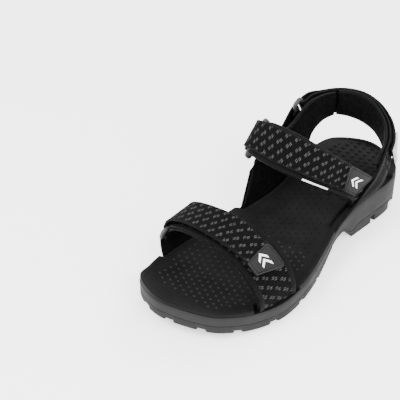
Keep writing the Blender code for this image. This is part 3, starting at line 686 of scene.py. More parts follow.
def footbed_top(x, y):
    """Dished top: high at the rim, lower in the middle, with dimples under the heel."""
    low, high = edge_x(y)
    inset = min(x - low, high - x)
    drop = 1.2 * smoothstep(inset, 1.8, 8.5) + 1.5 * smoothstep(inset, 7.0, 24.0)
    z = rim_z(y) - drop
    if y < DIMPLE_END and inset > DIMPLE_INSET:
        pitch_x, pitch_y = DIMPLE_PITCH
        column = round((x - DIMPLE_START[0]) / pitch_x)
        cy = (y - DIMPLE_START[1]) / pitch_y + 0.5 * (column % 2)
        dx = (x - DIMPLE_START[0]) - column * pitch_x
        dy = (cy - round(cy)) * pitch_y
        z -= DIMPLE_DEPTH * (1 - smoothstep(hypot(dx * 0.9, dy), 0.6, 2.1))
    return z


def make_footbed():
    def over_ledge(rise):
        return lambda y, s: ledge_z(y, s) + rise

    def under_rim(drop):
        return lambda y, s: rim_z(y) - drop

    levels = ((9.5, over_ledge(0.3)), (0.9, over_ledge(0.3)), (0.5, over_ledge(0.6)), (0.45, under_rim(1.4)),
              (0.75, under_rim(0.55)), (1.5, under_rim(0.1)), (2.4, under_rim(0.1)), (3.4, under_rim(0.35)))
    piece = sole_slab("footbed_body", levels, [MATS["footbed"]], columns=72, top=footbed_top,
                      slots=True)
    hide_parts("footbed")
    make_footbed_dots()


def make_footbed_dots():
    """Staggered rows of dots: raised and grey under the forefoot; under the arch, flat dark discs of painted
    pit shade.
    """
    # the second kind is painted shade: dark discs 0.08 high where the footbed has small pits
    for name, front, radius, rise, material in (("footbed_dots", True, DOT_RADIUS, 0.5, "dot"),
                                                ("footbed_painted_pit_shades", False, PIT_RADIUS, 0.08, "pit")):
        verts, faces = [], []
        for i in range(-DOT_COLUMNS, DOT_COLUMNS + 1):
            for j in range(-DOT_ROWS, 2 * DOT_ROWS):
                x, y = i * DOT_PITCH[0], (j + 0.5 * (i % 2)) * DOT_PITCH[1]
                low, high = edge_x(y)
                inside = min(x - low, high - x) > DOT_INSET and DOT_Y[0] < y < DOT_Y[1]
                if inside and (y > DOT_CHANGE_Y) == front:
                    add_dot(verts, faces, x, y, radius, rise)
        add_piece(name, verts, faces, [MATS[material]], "base")


def add_dot(verts, faces, x, y, radius, rise):
    """A low closed dome on the footbed."""
    start, z = len(verts), footbed_top(x, y)
    for share, height in ((1.0, -0.25), (0.8, 0.6 * rise), (0.4, 0.95 * rise)):
        for k in range(DOT_SIDES):
            angle = 2 * pi * k / DOT_SIDES
            verts.append((x + cos(angle) * radius * share, y + sin(angle) * radius * share, z + height))
    verts += [(x, y, z + rise), (x, y, z - 0.25)]
    for ring in (start, start + DOT_SIDES):
        faces += band(ring, ring + DOT_SIDES, DOT_SIDES)
    top, bottom, last = start + 3 * DOT_SIDES, start + 3 * DOT_SIDES + 1, start + 2 * DOT_SIDES
    faces += [(last + k, last + (k + 1) % DOT_SIDES, top) for k in range(DOT_SIDES)]
    faces += [(start + (k + 1) % DOT_SIDES, start + k, bottom) for k in range(DOT_SIDES)]


def make_outsole():
    """The plate with its skirt round the edge, and every lug as its own block standing on it."""
    def plate_face(x, y):
        return between_sides(plate_z, x, y) + PLATE

    def skirt_z(y, side):
        share = lerp(*SKIRT, smoothstep(y, -60, 0))
        return lerp(under_z(y, side), plate_z(y, side), share)

    plate = sole_slab("outsole_plate", ((4.2, plate_z), (3.4, plate_z), (2.6, skirt_z),
                                        (0.5, skirt_z), (0.25, lambda y, s: skirt_z(y, s) + 0.3),
                                        (0.2, lambda y, s: plate_z(y, s) + PLATE)),
                      [MATS["rubber"]], columns=2, top=plate_face)
    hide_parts("outsole")
    verts, faces = [], []
    chain = [(x, y, r, 1) for x, y, r in MEDIAL_LUGS] + [(*TIP_LUGS[1], 0)]
    chain += [(x, y, r, -1) for x, y, r in LATERAL_LUGS[::-1]] + [(*TIP_LUGS[0], 0)]
    for i, (x, y, radius, side) in enumerate(chain):
        outward = edge_normal(side, y) if side else np.array((0.0, 1.0 if y > 0 else -1.0))
        tangent = np.array((-outward[1], outward[0]))
        slot = FORE_LUG_SLOT if y > 0 else HEEL_LUG_SLOT
        reach = {}
        for nx, ny, _, _ in (chain[i - 1], chain[(i + 1) % len(chain)]):
            away = np.array((nx - x, ny - y))
            reach[1 if away @ tangent > 0 else -1] = min((np.linalg.norm(away) - slot) / 2, radius + 3.0)
        add_lug(verts, faces, (x, y, radius), outward, (reach.get(-1, radius), reach.get(1, radius)))
    for lug in INNER_LUGS:
        add_lug(verts, faces, lug, None, (lug[2], lug[2]))
    add_piece("outsole_lugs", verts, faces, [MATS["rubber"]], "base", smooth_angle=0.6)


lug_edge = outline.widths(LUG_EDGE)


def edge_normal(side, y):
    return unit(outline.at(side, y) - outline.at(side, y, 1.0))


def lug_reach(x, y, direction, radius, outward, halves):
    """Distance from a lug's middle to its side in one direction, stopped by the sole's edge."""
    reach = radius
    if outward is not None:
        ahead = float(direction @ outward)
        aside = float(direction[1] * outward[0] - direction[0] * outward[1])
        half = halves[0] if aside < 0 else halves[1]
        if ahead > 0:
            reach = min(half / max(abs(aside), 1e-3), radius + 26)
        else:
            reach = 1 / hypot(ahead / radius, aside / half)

    def clear(r):
        px, py = x + direction[0] * r, y + direction[1] * r
        low, high = lug_edge(py)
        return low < px < high and abs(py) < HALF_LENGTH - LUG_EDGE

    if clear(reach):
        return reach
    inside, outside = 0.0, reach
    for _ in range(16):
        middle = (inside + outside) / 2
        inside, outside = (middle, outside) if clear(middle) else (inside, middle)
    return inside


def lug_engraving(dx, dy, radius, edge_lug, turn):
    """Depth of the pattern cut into a lug's face: a forked groove, or a ring on the round lugs."""
    r = hypot(dx, dy)
    if not edge_lug:
        return 0.7 * (1 - smoothstep(abs(r - radius * 0.72), 0.5, 1.2))
    depth = 0.0
    for k in range(3):
        angle = turn + k * 2 * pi / 3
        ahead = dx * cos(angle) + dy * sin(angle)
        off = abs(dx * sin(angle) - dy * cos(angle))
        if ahead > -0.5:
            depth = max(depth, 1.3 * (1 - smoothstep(off, 0.5, 1.3)))
            for limb in (0.45, 0.8):
                reach = ahead - radius * limb
                branch = 1 - smoothstep(abs(reach - off * 0.8), 0.4, 1.1)
                depth = max(depth, branch * (0.5 < off < 5))
    return depth


def add_lug(verts, faces, lug, outward, halves):
    """One lug: a side wall with a small chamfer, and a finely divided face that carries its pattern."""
    turns, rings = LUG_TURNS, LUG_RINGS
    x, y, radius = lug
    edge_lug = outward is not None
    start = len(verts)
    spokes = [np.array((cos(2 * pi * k / turns), sin(2 * pi * k / turns))) for k in range(turns)]
    reaches = [lug_reach(x, y, d, radius, outward, halves) for d in spokes]

    def put(k, reach, height, rise):
        px, py = x + spokes[k][0] * reach, y + spokes[k][1] * reach
        verts.append((px, py, between_sides(height, px, py) + rise))

    wall = ((0.0, plate_z, 1.2), (0.0, plate_z, 0.0), (0.1, under_z, LUG_CHAMFER), (0.3, under_z, 0.2))
    for inset, height, rise in wall:
        for k in range(turns):
            put(k, reaches[k] - inset, height, rise)
    turn = 0.0 if outward is None else np.arctan2(outward[1], outward[0])
    for ring in range(rings, 0, -1):
        for k in range(turns):
            reach = (reaches[k] - LUG_CHAMFER) * ring / rings
            cut = lug_engraving(spokes[k][0] * reach, spokes[k][1] * reach, radius, edge_lug, turn)
            put(k, reach, under_z, 0.0 if ring == rings else cut * (ring < rings))
    loops = 4 + rings
    for level in range(loops - 1):
        low = start + level * turns
        faces += [(low + (k + 1) % turns, low + k, low + turns + k, low + turns + (k + 1) % turns)
                  for k in range(turns)]
    verts.append((x, y, between_sides(under_z, x, y) + (1.3 if edge_lug else 0.0)))
    verts.append((x, y, between_sides(plate_z, x, y) + 1.2))
    last = start + (loops - 1) * turns
    faces += [(last + (k + 1) % turns, last + k, len(verts) - 2) for k in range(turns)]
    faces += [(start + k, start + (k + 1) % turns, len(verts) - 1) for k in range(turns)]


# Straps -------------------------------------------------------------------------------------
class Strip:
    """A ruled strap surface between two edge curves; s runs along it and v across it, both 0 to 1."""

    COUNT = 130

    def __init__(self, first, second, heart):
        a, b = catmull(first, steps=24), catmull(second, steps=24)
        middle = (a + b) / 2
        length = np.concatenate([[0], np.cumsum(np.linalg.norm(np.diff(middle, axis=0), axis=1))])
        self.length = length[-1]
        goal = np.linspace(0, self.length, self.COUNT + 1)
        self.a = np.stack([np.interp(goal, length, a[:, i]) for i in range(3)], axis=1)
        self.b = np.stack([np.interp(goal, length, b[:, i]) for i in range(3)], axis=1)
        self.middle = (self.a + self.b) / 2
        self.normals = np.zeros_like(self.a)
        window = 4
        for i in range(self.COUNT + 1):
            along = self.middle[min(i + window, self.COUNT)] - self.middle[max(i - window, 0)]
            normal = unit(np.cross(along, self.b[i] - self.a[i]))
            self.normals[i] = normal if normal @ (self.middle[i] - np.array(heart)) > 0 else -normal

    def normal(self, s):
        x = min(max(s, 0.0), 1.0) * self.COUNT
        k = min(int(x), self.COUNT - 1)
        return unit(lerp(self.normals[k], self.normals[k + 1], x - k))

    def point(self, s, v, lift):
        x = min(max(s, 0.0), 1.0) * self.COUNT
        k = min(int(x), self.COUNT - 1)
        t = x - k
        a, b = lerp(self.a[k], self.a[k + 1], t), lerp(self.b[k], self.b[k + 1], t)
        return lerp(a, b, v) + self.normal(s) * lift

    def width(self, s):
        return float(np.linalg.norm(self.point(s, 1, 0) - self.point(s, 0, 0)))

    def rows(self, start, end, count, shares, v, lift):
        """Points and normals of a grid; each end is an s for the first and one for the second edge."""
        points, normals = [], []
        for i in range(count + 1):
            t = i / count
            low, high = lerp(start[0], end[0], t), lerp(start[1], end[1], t)
            line, line_normals = [], []
            for f in shares:
                s = lerp(low, high, f)
                v0, v1 = v(s) if callable(v) else v
                line.append(self.point(s, lerp(v0, v1, f), lift(s) if callable(lift) else lift))
                line_normals.append(self.normal(s))
            points.append(line)
            normals.append(line_normals)
        return np.array(points), np.array(normals)

    def end_frame(self):
        across = unit(self.b[-1] - self.a[-1])
        normal = self.normals[-1]
        along = np.cross(across, normal)
        if along @ (self.middle[-1] - self.middle[-12]) < 0:
            along = -along
        return self.middle[-1], along, across, normal


def shares_across(width, border, middle=8):
    """Places across a strap, from 0 to 1, close together at its borders."""
    near = [0.0, 0.18, 0.5, 1.0, 2.0, border - 0.35, border, border + 0.35]
    left = [d / width for d in near]
    inner = list(np.linspace(left[-1], 1 - left[-1], middle + 2)[1:-1])
    return left + inner + [1 - f for f in left[::-1]]


def edge_height(shares, width, thick, border, raised):
    """Half thickness at each place across: rounded at the edges, raised over the border."""
    heights = []
    for f in shares:
        d = min(f, 1 - f) * width
        rim = smoothstep(d, 0.0, 0.5) * (1 - smoothstep(d, border - 0.3, border + 0.2))
        heights.append(thick * rounded(d, 0.5, 0.35) + raised * rim)
    return np.array(heights)


def ribbon(name, points, normals, top, bottom, materials, body, border=0.0, taper=(True, True),
           plain_back=False):
    """A closed solid round a grid of points, top above it and bottom below it along the normals.

    Faces within border of a long edge take the second material, and so does a plain back. The UV map
    holds tenths of a metre. The first half of the vertices is the top, the second half the bottom."""
    rows, columns = points.shape[:2]
    top = np.broadcast_to(top, (rows, columns)).copy()
    bottom = np.broadcast_to(bottom, (rows, columns)).copy()
    for at, on in ((0, taper[0]), (-1, taper[1])):
        if on:
            top[at] *= 0.45
            bottom[at] *= 0.45
    upper = points + normals * top[..., None]
    lower = points - normals * bottom[..., None]
    verts = np.concatenate([upper.reshape(-1, 3), lower.reshape(-1, 3)])
    along = np.concatenate([[0], np.cumsum(np.linalg.norm(np.diff(points[:, columns // 2], axis=0),
                                                          axis=1))])
    middle = np.linalg.norm(np.diff(points, axis=1), axis=2)
    across = np.concatenate([np.zeros((rows, 1)), np.cumsum(middle, axis=1)], axis=1)
    uv = np.stack([np.broadcast_to(along[:, None], (rows, columns)), across], axis=-1).reshape(-1, 2) / 100.0
    uvs = np.concatenate([uv, uv])
    faces, face_slots = [], []
    lower_start = rows * columns

    def bordered(k):
        middle_of_face = (across[rows // 2, k] + across[rows // 2, k + 1]) / 2
        return int(border > 0 and min(middle_of_face, across[rows // 2, -1] - middle_of_face) < border)

    for i in range(rows - 1):
        for k in range(columns - 1):
            a = i * columns + k
            faces.append((a, a + 1, a + columns + 1, a + columns))
            faces.append(tuple(lower_start + q for q in (a + columns, a + columns + 1, a + 1, a)))
            face_slots += [bordered(k), max(bordered(k), plain_back)]
    edge_slot = 1 if border > 0 else 0
    for i in range(rows - 1):
        for k, flip in ((0, False), (columns - 1, True)):
            a, b = i * columns + k, (i + 1) * columns + k
            quad = (a, b, lower_start + b, lower_start + a)
            faces.append(quad[::-1] if flip else quad)
            face_slots.append(edge_slot)
    for i, flip in ((0, True), (rows - 1, False)):
        for k in range(columns - 1):
            a = i * columns + k
            quad = (a, a + 1, lower_start + a + 1, lower_start + a)
            faces.append(quad[::-1] if flip else quad)
            face_slots.append(edge_slot)
    facing = np.cross(points[1, 0] - points[0, 0], points[0, 1] - points[0, 0]) @ normals[0, 0]
    if facing > 0:
        faces = [f[::-1] for f in faces]
    return add_piece(name, verts, faces, materials, body, uvs=uvs, face_slots=face_slots)


def stitch_row(paths, name, material, body, pitch=3.0, length=2.1, radius=0.27):
    """Rows of stitches: small rounded threads lying along paths of (points, normals)."""
    verts, faces = [], []
    sides = 6
    for points, normals in paths:
        reach = np.concatenate([[0], np.cumsum(np.linalg.norm(np.diff(points, axis=0), axis=1))])

        def at(d):
            p = np.array([np.interp(d, reach, points[:, i]) for i in range(3)])
            n = unit(np.array([np.interp(d, reach, normals[:, i]) for i in range(3)]))
            return p, n

        d = pitch * 0.5
        while d + length < reach[-1]:
            start = len(verts)
            ends = [at(d + length * f) for f in (0.0, 0.12, 0.5, 0.88, 1.0)]
            along = unit(ends[-1][0] - ends[0][0])
            for (p, n), size in zip(ends, (0.35, 0.85, 1.0, 0.85, 0.35)):
                side = np.cross(along, n)
                for k in range(sides):
                    angle = 2 * pi * k / sides
                    verts.append(p + side * cos(angle) * radius * size * 1.25
                                 + n * sin(angle) * radius * size)
            for ring in range(4):
                faces += band(start + ring * sides, start + (ring + 1) * sides, sides)
            faces.append(tuple(range(start, start + sides))[::-1])
            faces.append(tuple(range(start + 4 * sides, start + 5 * sides)))
            d += pitch
    return add_piece(name, verts, faces, [material], body, smooth_angle=1.2)


def strip_line(strip, start, end, v, lift, count=60):
    """Points and normals of a line along a strap; v and lift may be functions of s."""
    spots = np.linspace(start, end, count)
    points = [strip.point(s, v(s) if callable(v) else v, lift(s) if callable(lift) else lift) for s in spots]
    return np.array(points), np.array([strip.normal(s) for s in spots])


def flap_rise(s):
    return FLAP_LIFT + (FLAP_LIFT_AT_RING - FLAP_LIFT) * smoothstep(s, 0.8, 0.97)


class Ring:
    """Places of a ring's two bars at the end of a strip, and what turns round them."""

    def __init__(self, strip, width, inner_width):
        middle, self.along, self.across, self.normal = strip.end_frame()
        self.strap_bar = middle + self.normal * BAR_LIFT
        self.anchor_bar = self.strap_bar + self.along * BAR_SPREAD
        self.half = width / 2
        self.reach = inner_width / 2 + BAR

    def turn(self, centre, shares, spokes, radius=FOLD):
        """Grid rows round a bar, one for each spoke direction."""
        points = [[centre + spoke * radius + self.across * lerp(-self.half, self.half, f) for f in shares]
                  for spoke in spokes]
        normals = [[spoke] * len(shares) for spoke in spokes]
        return np.array(points), np.array(normals)

    def spokes(self, first, turn, start, end, count):
        return [first * cos(a) + turn * sin(a) for a in np.linspace(radians(start), radians(end), count)]

    def make(self, name, body, materials):
        """A moulded ring: round bars, and thicker, flatter ends."""
        sides, corner, corner_steps = 16, 3.0, 6
        centre = (self.strap_bar + self.anchor_bar) / 2
        depth = BAR_SPREAD / 2
        path = []
        for sx, sy, first in ((1, 1, 0), (-1, 1, 1), (-1, -1, 2), (1, -1, 3)):
            for k in range(corner_steps + 1):
                angle = pi / 2 * (first + k / corner_steps)
                spoke = self.across * cos(angle) + self.along * sin(angle)
                aside = self.across * sx * (self.reach - corner)
                heart = centre + aside + self.along * sy * (depth - corner)
                path.append((heart + spoke * corner, spoke, abs(cos(angle))))
        verts, faces = [], []
        for middle, spoke, endness in path:
            swell = 1 + 0.3 * smoothstep(endness, 0.4, 0.95)
            for k in range(sides):
                angle = 2 * pi * k / sides
                out = spoke * (cos(angle) * BAR * swell + BAR * (swell - 1) * 0.8)
                verts.append(middle + out + self.normal * sin(angle) * BAR * (1 + 0.25 * (swell - 1) * 2))
        total = len(path)
        for i in range(total):
            faces += band(i * sides, (i + 1) % total * sides, sides)
        piece = add_piece(name + "_moulding", verts, faces, materials, body,
                          smooth_angle=1.3)
        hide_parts(name)


def join_rows(*grids):
    return tuple(np.concatenate(parts) for parts in zip(*grids))


def flap_span(spec):
    """The v range of a flap at each s: its tip is narrower than its body."""
    def span(s):
        t = smoothstep(s, *TIP_NARROWS)
        return tuple(lerp(tip, body, t) for tip, body in zip(spec["tip_v"], spec["flap_v"]))
    return span


def find_blend(points):
    """A direction from the fold's outermost row in which every later row lies further on."""
    start = points.mean(axis=1)[-1]
    best = (-np.inf,)
    rng = random.Random(BLEND_SEED)
    for _ in range(BLEND_TRIES):
        d = unit(np.array([rng.uniform(-1, 1) for _ in range(3)]))
        reach = (points - start) @ d
        near = max(reach[-1].max(), 0.0)
        tail = reach.min(axis=1)[::-1][FOLD_ROWS:].min()
        if tail - near > best[0]:
            best = (tail - near, start, d, near, tail)
    return best[1:]


def blend_fold(piece, points):
    """Finds a blend direction from the turn's outermost row, which is not used, and bakes the piece's
    transform.
    """
    start, direction, near, tail = find_blend(points)
    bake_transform(piece)


def flap_solid(strip, ring, spec, start, count):
    """Grid of a flap from its start to the outermost row of its turn round the ring."""
    width = ring.half * 2
    shares = shares_across(width, FLAP_BORDER)
    grid = strip.rows(start, (FLAP_END, FLAP_END), count, shares, flap_span(spec), flap_rise)
    turn = ring.turn(ring.strap_bar, shares, ring.spokes(ring.normal, ring.along, 0, 90, TURN_ROWS))
    return *join_rows(grid, turn), edge_height(shares, width, WEB / 2, FLAP_BORDER, FLAP_RIM)


def woven(node, points, normals, top, bottom, border, free_tip=True):
    """A strap or flap of patterned cloth with bound edges and a plain back, in place of its CAD node."""
    piece = ribbon(node + "_web", points, normals, top, bottom, [MATS["textile"], MATS["binding"]], None,
                   border=border, taper=(free_tip, False), plain_back=True)
    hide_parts(node)
    return piece


def make_base_strap(strip, ring, binding):
    """The strap from the sole to the underside of its ring's bar, where it turns up to the flap."""
    width = strip.width(0.4)
    shares = shares_across(width, binding)
    end_half = ring.half / strip.width(1.0)

    def narrowing(s):
        t = smoothstep(s, 0.86, FLAP_END)
        return lerp(0.0, 0.5 - end_half, t), lerp(1.0, 0.5 + end_half, t)

    grid = strip.rows((0.0, 0.0), (FLAP_END, FLAP_END), STRAP_ROWS, shares, narrowing, -WEB / 2)
    turn = ring.turn(ring.strap_bar, shares, ring.spokes(-ring.normal, ring.along, 0, 90, TURN_ROWS))
    points, normals = join_rows(grid, turn)
    normals[-TURN_ROWS:] *= -1
    top = edge_height(shares, width, WEB / 2, binding, BINDING_RIM)
    return points, normals, top, edge_height(shares, width, WEB / 2, binding, 0.0)


def make_strap(name, spec):
    """A closing strap's woven base, ring, lining, loop patch and stitching; returns what the flap needs."""
    strip = Strip(*spec["edges"], spec["heart"])
    ring = Ring(strip, *spec["ring"])
    link, closure = name + "_link", name + "_closure"
    points, normals, top, under = make_base_strap(strip, ring, spec["binding"])
    base = woven(name + "_strap", points, normals, top, under, spec["binding"])
    blend_fold(base, points)
    ring.make(name + "_ring", link, [MATS["ring"]])
    if name != "heel":
        make_lining(name, strip)
    make_patch(name + "_loop_patch", strip, *spec["loop"], GAP + PILE / 2, "base")
    paths = [strip_line(strip, 0.03, 0.9, lambda s, end=end, d=d: end + d / strip.width(s), 0.38)
             for end, d in ((0, STITCH_INSET), (1, -STITCH_INSET))]
    stitch_row(paths, name + "_strap_stitches", MATS["thread"], "base")
    return strip, ring, link, closure


def make_lining(name, strip):
    width = strip.width(0.4)
    shares = shares_across(width, LINING_BORDER, middle=10)
    lift = -WEB - GAP - LINING / 2
    points, normals = strip.rows((0.02, 0.02), (0.955, 0.955), 90, shares, (-0.012, 1.012), lift)
    outer = edge_height(shares, width, LINING / 2 + 0.1, LINING_BORDER, 0.0)
    insets = [min(f, 1 - f) * width for f in shares]
    inner = np.array([LINING / 2 * rounded(d, 2.0, 0.35) + LINING_CROWN * smoothstep(d, 2.4, 9.0)
                      for d in insets])
    piece = ribbon(name + "_lining_pad", points, normals, outer, inner, [MATS["lining"], MATS["binding"]],
                   "base",
                   border=LINING_BORDER)
    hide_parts(name + "_lining")
    inflate(piece)


def make_patch(name, strip, s_range, v_range, lift, body):
    """A hook or loop patch with a slightly uneven pile."""
    shares = list(np.linspace(0, 1, 15))
    points, normals = strip.rows((s_range[0],) * 2, (s_range[1],) * 2, 40, shares, v_range, lift)
    rng = np.random.default_rng(7)
    top = PILE / 2 * (0.75 + 0.5 * rng.random(points.shape[:2]))
    piece = ribbon(name + "_pile", points, normals, np.minimum(top, PILE / 2 + 0.1), PILE / 2,
                   [MATS["pile"]],
                   body)
    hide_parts(name)


def make_flap(name, strip, ring, spec, closure):
    points, normals, heights = flap_solid(strip, ring, spec, spec["tip"], 96)
    flap = woven(name + "_flap", points, normals, heights, WEB / 2, FLAP_BORDER)
    blend_fold(flap, points)
    make_patch(name + "_hook_patch", strip, *spec["hook"], HOOK_LIFT, closure)
    span = flap_span(spec)
    paths = [strip_line(strip, spec["tab_end"][i], 0.94, lambda s, f=f: lerp(*span(s), f),
                        lambda s: flap_rise(s) + WEB / 2 + 0.1)
             for i, f in ((0, 0.065), (1, 0.935))]
    stitch_row(paths, name + "_flap_stitches", MATS["thread"], closure)
    make_tab(name, strip, spec, closure)


def tab_surface(strip, spec, t, f, lift):
    """A place on a pull tab: t from its tip to its inner end, f across it."""
    v0, v1 = spec["tip_v"]
    pull_t = 1 - TAB_CORNER * abs(2 * f - 1) ** 8
    pull_f = 1 - TAB_CORNER * abs(2 * t - 1) ** 8
    t, f = 0.5 + (t - 0.5) * pull_t, 0.5 + (f - 0.5) * pull_f
    s = lerp(lerp(spec["tip"][0], spec["tab_end"][0], t), lerp(spec["tip"][1], spec["tab_end"][1], t), f)
    return strip.point(s, lerp(v0, v1, f), lift), strip.normal(s)


def make_tab(name, strip, spec, closure, material="tab", emblem=True):
    """The moulded pull tab: a raised rim, a stitched outline and a plain double chevron."""
    lift = FLAP_LIFT + WEB / 2 + GAP + TAB / 2
    length = strip.length * (sum(spec["tab_end"]) - sum(spec["tip"])) / 2
    width = strip.width(sum(spec["tip"]) / 2) * (spec["tip_v"][1] - spec["tip_v"][0])
    across = [0.0, 0.2, 0.6, 0.9, 1.25, 1.7, 2.05]
    f_list, t_list = ([d / size for d in across] + list(np.linspace(low, 1 - low, 7))
                      + [1 - d / size for d in across[::-1]] for size, low in ((width, 0.1), (length, 0.14)))
    points, normals, top = [], [], []
    for t in t_list:
        row = [tab_surface(strip, spec, t, f, lift) for f in f_list]
        points.append([p for p, _ in row])
        normals.append([n for _, n in row])
        line = []
        for f in f_list:
            d = min(min(f, 1 - f) * width, min(t, 1 - t) * length)
            groove = smoothstep(d, 0.9, 1.25) * (1 - smoothstep(d, 1.7, 2.05))
            line.append(TAB / 2 * rounded(d, 0.6, 0.4) - TAB_GROOVE * groove)
        top.append(line)
    piece = ribbon(name + "_pull_tab_moulding", np.array(points), np.array(normals), np.array(top), TAB / 2,
                   [MATS[material]], closure, taper=(False, False))
    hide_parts(name + "_pull_tab")
    inset_t, inset_f = 0.55 / length, 0.55 / width
    corners = ((inset_t, inset_f), (1 - inset_t, inset_f), (1 - inset_t, 1 - inset_f),
               (inset_t, 1 - inset_f))
    paths = []
    for (t0, f0), (t1, f1) in zip(corners, corners[1:] + corners[:1]):
        row = [tab_surface(strip, spec, lerp(t0, t1, k / 20), lerp(f0, f1, k / 20), lift + TAB / 2 - 0.04)
               for k in range(21)]
        paths.append((np.array([p for p, _ in row]), np.array([n for _, n in row])))
    stitch_row(paths, name + "_tab_stitches", MATS["grey_thread"], closure, pitch=1.9,
               length=1.3,
               radius=0.2)
    if emblem:
        make_chevrons(name, strip, spec, closure, width, length, lift)


def make_chevrons(name, strip, spec, closure, width, length, lift):
    """Two plain chevrons printed thickly on the tab."""
    arm, rise, thick = 4.6, 4.2, 2.3
    for index, foot in enumerate((-4.6, 0.2)):
        points, normals = [], []
        for k in range(17):
            u = lerp(-arm, arm, k / 16)
            peak = foot + rise * (1 - abs(u) / arm)
            row = [tab_surface(strip, spec, 0.5 + (peak + thick * c) / length, 0.5 + u / width,
                               lift + TAB / 2 + 0.1) for c in (0.0, 0.08, 0.92, 1.0)]
            points.append([p for p, _ in row])
            normals.append([n for _, n in row])
        ribbon("%s_chevron_%d" % (name, index + 1), np.array(points), np.array(normals),
               np.array((0.05, 0.2, 0.2, 0.05)), 0.15, [MATS["emblem"]], closure,
               taper=(False, False))


def leg_rows(ring, base, shares, count):
    """Rows of an anchor from its stitched foot up to the outer side of the ring's other bar."""
    top = ring.anchor_bar + ring.normal * FOLD + ring.along * 2.0
    ends = (top - ring.across * ring.half, top + ring.across * ring.half)
    points, normals = [], []
    for i in range(count):
        t = i / count
        a, b = lerp(base[0], ends[0], t), lerp(base[1], ends[1], t)
        bow = ring.normal * 1.2 * sin(pi * t)
        normal = unit(lerp(np.array((1.0, 0.0, 0.0)), ring.normal, t))
        points.append([lerp(a, b, f) + bow for f in shares])
        normals.append([normal] * len(shares))
    return np.array(points), np.array(normals)


def make_anchor(node, ring, base, count, tail):
    """Webbing that holds a ring's other bar: leg, turn round the bar and short inner tail."""
    width = ring.half * 2
    shares = shares_across(width, FLAP_BORDER)
    leg = leg_rows(ring, base, shares, count)
    turn = ring.turn(ring.anchor_bar, shares, ring.spokes(ring.normal, -ring.along, 0, 180,
                                                          2 * TURN_ROWS - 1))
    end_points = turn[0][-1] + ring.along * tail
    end = (end_points[None], turn[1][-1][None])
    points, normals = join_rows(leg, turn, end)
    heights = edge_height(shares, width, WEB / 2, FLAP_BORDER, ANCHOR_RIM)
    piece = ribbon(node + "_web", points, normals, heights, WEB / 2, [MATS["webbing"], MATS["binding"]],
                   "base",
                   border=1.4)
    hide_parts(node)
    paths = []
    for share in (0.08, 0.92):
        k = min(range(len(shares)), key=lambda i: abs(shares[i] - share))
        line = leg[0][:, k] + leg[1][:, k] * (WEB / 2 + 0.15)
        paths.append((line, leg[1][:, k]))
    for row in (-2, -4):
        paths.append((leg[0][row] + leg[1][row] * (WEB / 2 + 0.1), leg[1][row]))
    stitch_row(paths, node + "_stitches", MATS["thread"], "base", pitch=2.6, length=1.8)


def base_point(side, y, inset, lift=0.1):
    x, py = outline.at(side, y, inset)
    return np.array((x, py, rim_z(py) - FOOTBED_EDGE + lift))


def make_forefoot():
    strip, ring, link, closure = make_strap("forefoot", FOREFOOT)
    make_flap("forefoot", strip, ring, FOREFOOT, closure)
    base = [base_point(1, y, 1.2) for y in FOREFOOT_ANCHOR_BASE]
    make_anchor("forefoot_ring_anchor", ring, base, 16, 6)


def make_instep():
    strip, ring, link, closure = make_strap("instep", INSTEP)
    make_flap("instep", strip, ring, INSTEP, closure)
    foot = ring.anchor_bar + ring.along * INSTEP_ANCHOR_LENGTH
    foot[0] = INSTEP_ANCHOR_FOOT
    aside = ring.across * ring.half
    make_anchor("instep_ring_anchor", ring, (foot - aside, foot + aside), 10, 5)
    start, end = WHITE_BAR
    points, normals = strip.rows((start, start), (end, end), 24, [0.0, 0.1, 0.9, 1.0], WHITE_BAR_V, 0.42)
    ribbon("instep_white_bar", points, normals, np.array((0.05, 0.14, 0.14, 0.05)), 0.1, [MATS["emblem"]],
           "base")


def make_heel():
    strip, ring, link, closure = make_strap("heel", HEEL)
    tip_body = "heel_closure_tip"
    width = ring.half * 2
    split = (HEEL_SPLIT, HEEL_SPLIT)
    points, normals, heights = flap_solid(strip, ring, HEEL, split, 50)
    near_ring = woven("heel_flap", points, normals, heights, WEB / 2, FLAP_BORDER, free_tip=False)
    blend_fold(near_ring, points)
    shares = shares_across(width, FLAP_BORDER)
    points, normals = strip.rows(HEEL["tip"], split, 90, shares, HEEL["flap_v"], FLAP_LIFT)
    tip = woven("heel_flap_tip", points, normals, heights, WEB / 2, FLAP_BORDER)
    bend_from, bend_to = (strip.point(HEEL_PEEL_AT + d, 0.5, FLAP_LIFT) for d in (HEEL_BEND, -HEEL_BEND))
    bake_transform(tip)
    make_patch("heel_hook_patch", strip, *HEEL["hook"], HOOK_LIFT, tip_body)
    for node, body, start, end in (("heel_flap_tip", tip_body, 0.2, 0.42),
                                   ("heel_flap", closure, 0.52, 0.93)):
        paths = [strip_line(strip, start, end, lerp(*HEEL["flap_v"], d / width),
                            lambda s: flap_rise(s) + WEB / 2 + 0.12) for d in (STITCH_INSET,
                                                                               width - STITCH_INSET)]
        stitch_row(paths, node + "_stitches", MATS["thread"], body)
    make_tab("heel", strip, HEEL, tip_body, material="reflective", emblem=False)
    make_anchor("heel_webbing", ring, [base_point(1, y, 1.2) for y in WEBBING_BASE], 30, 7)


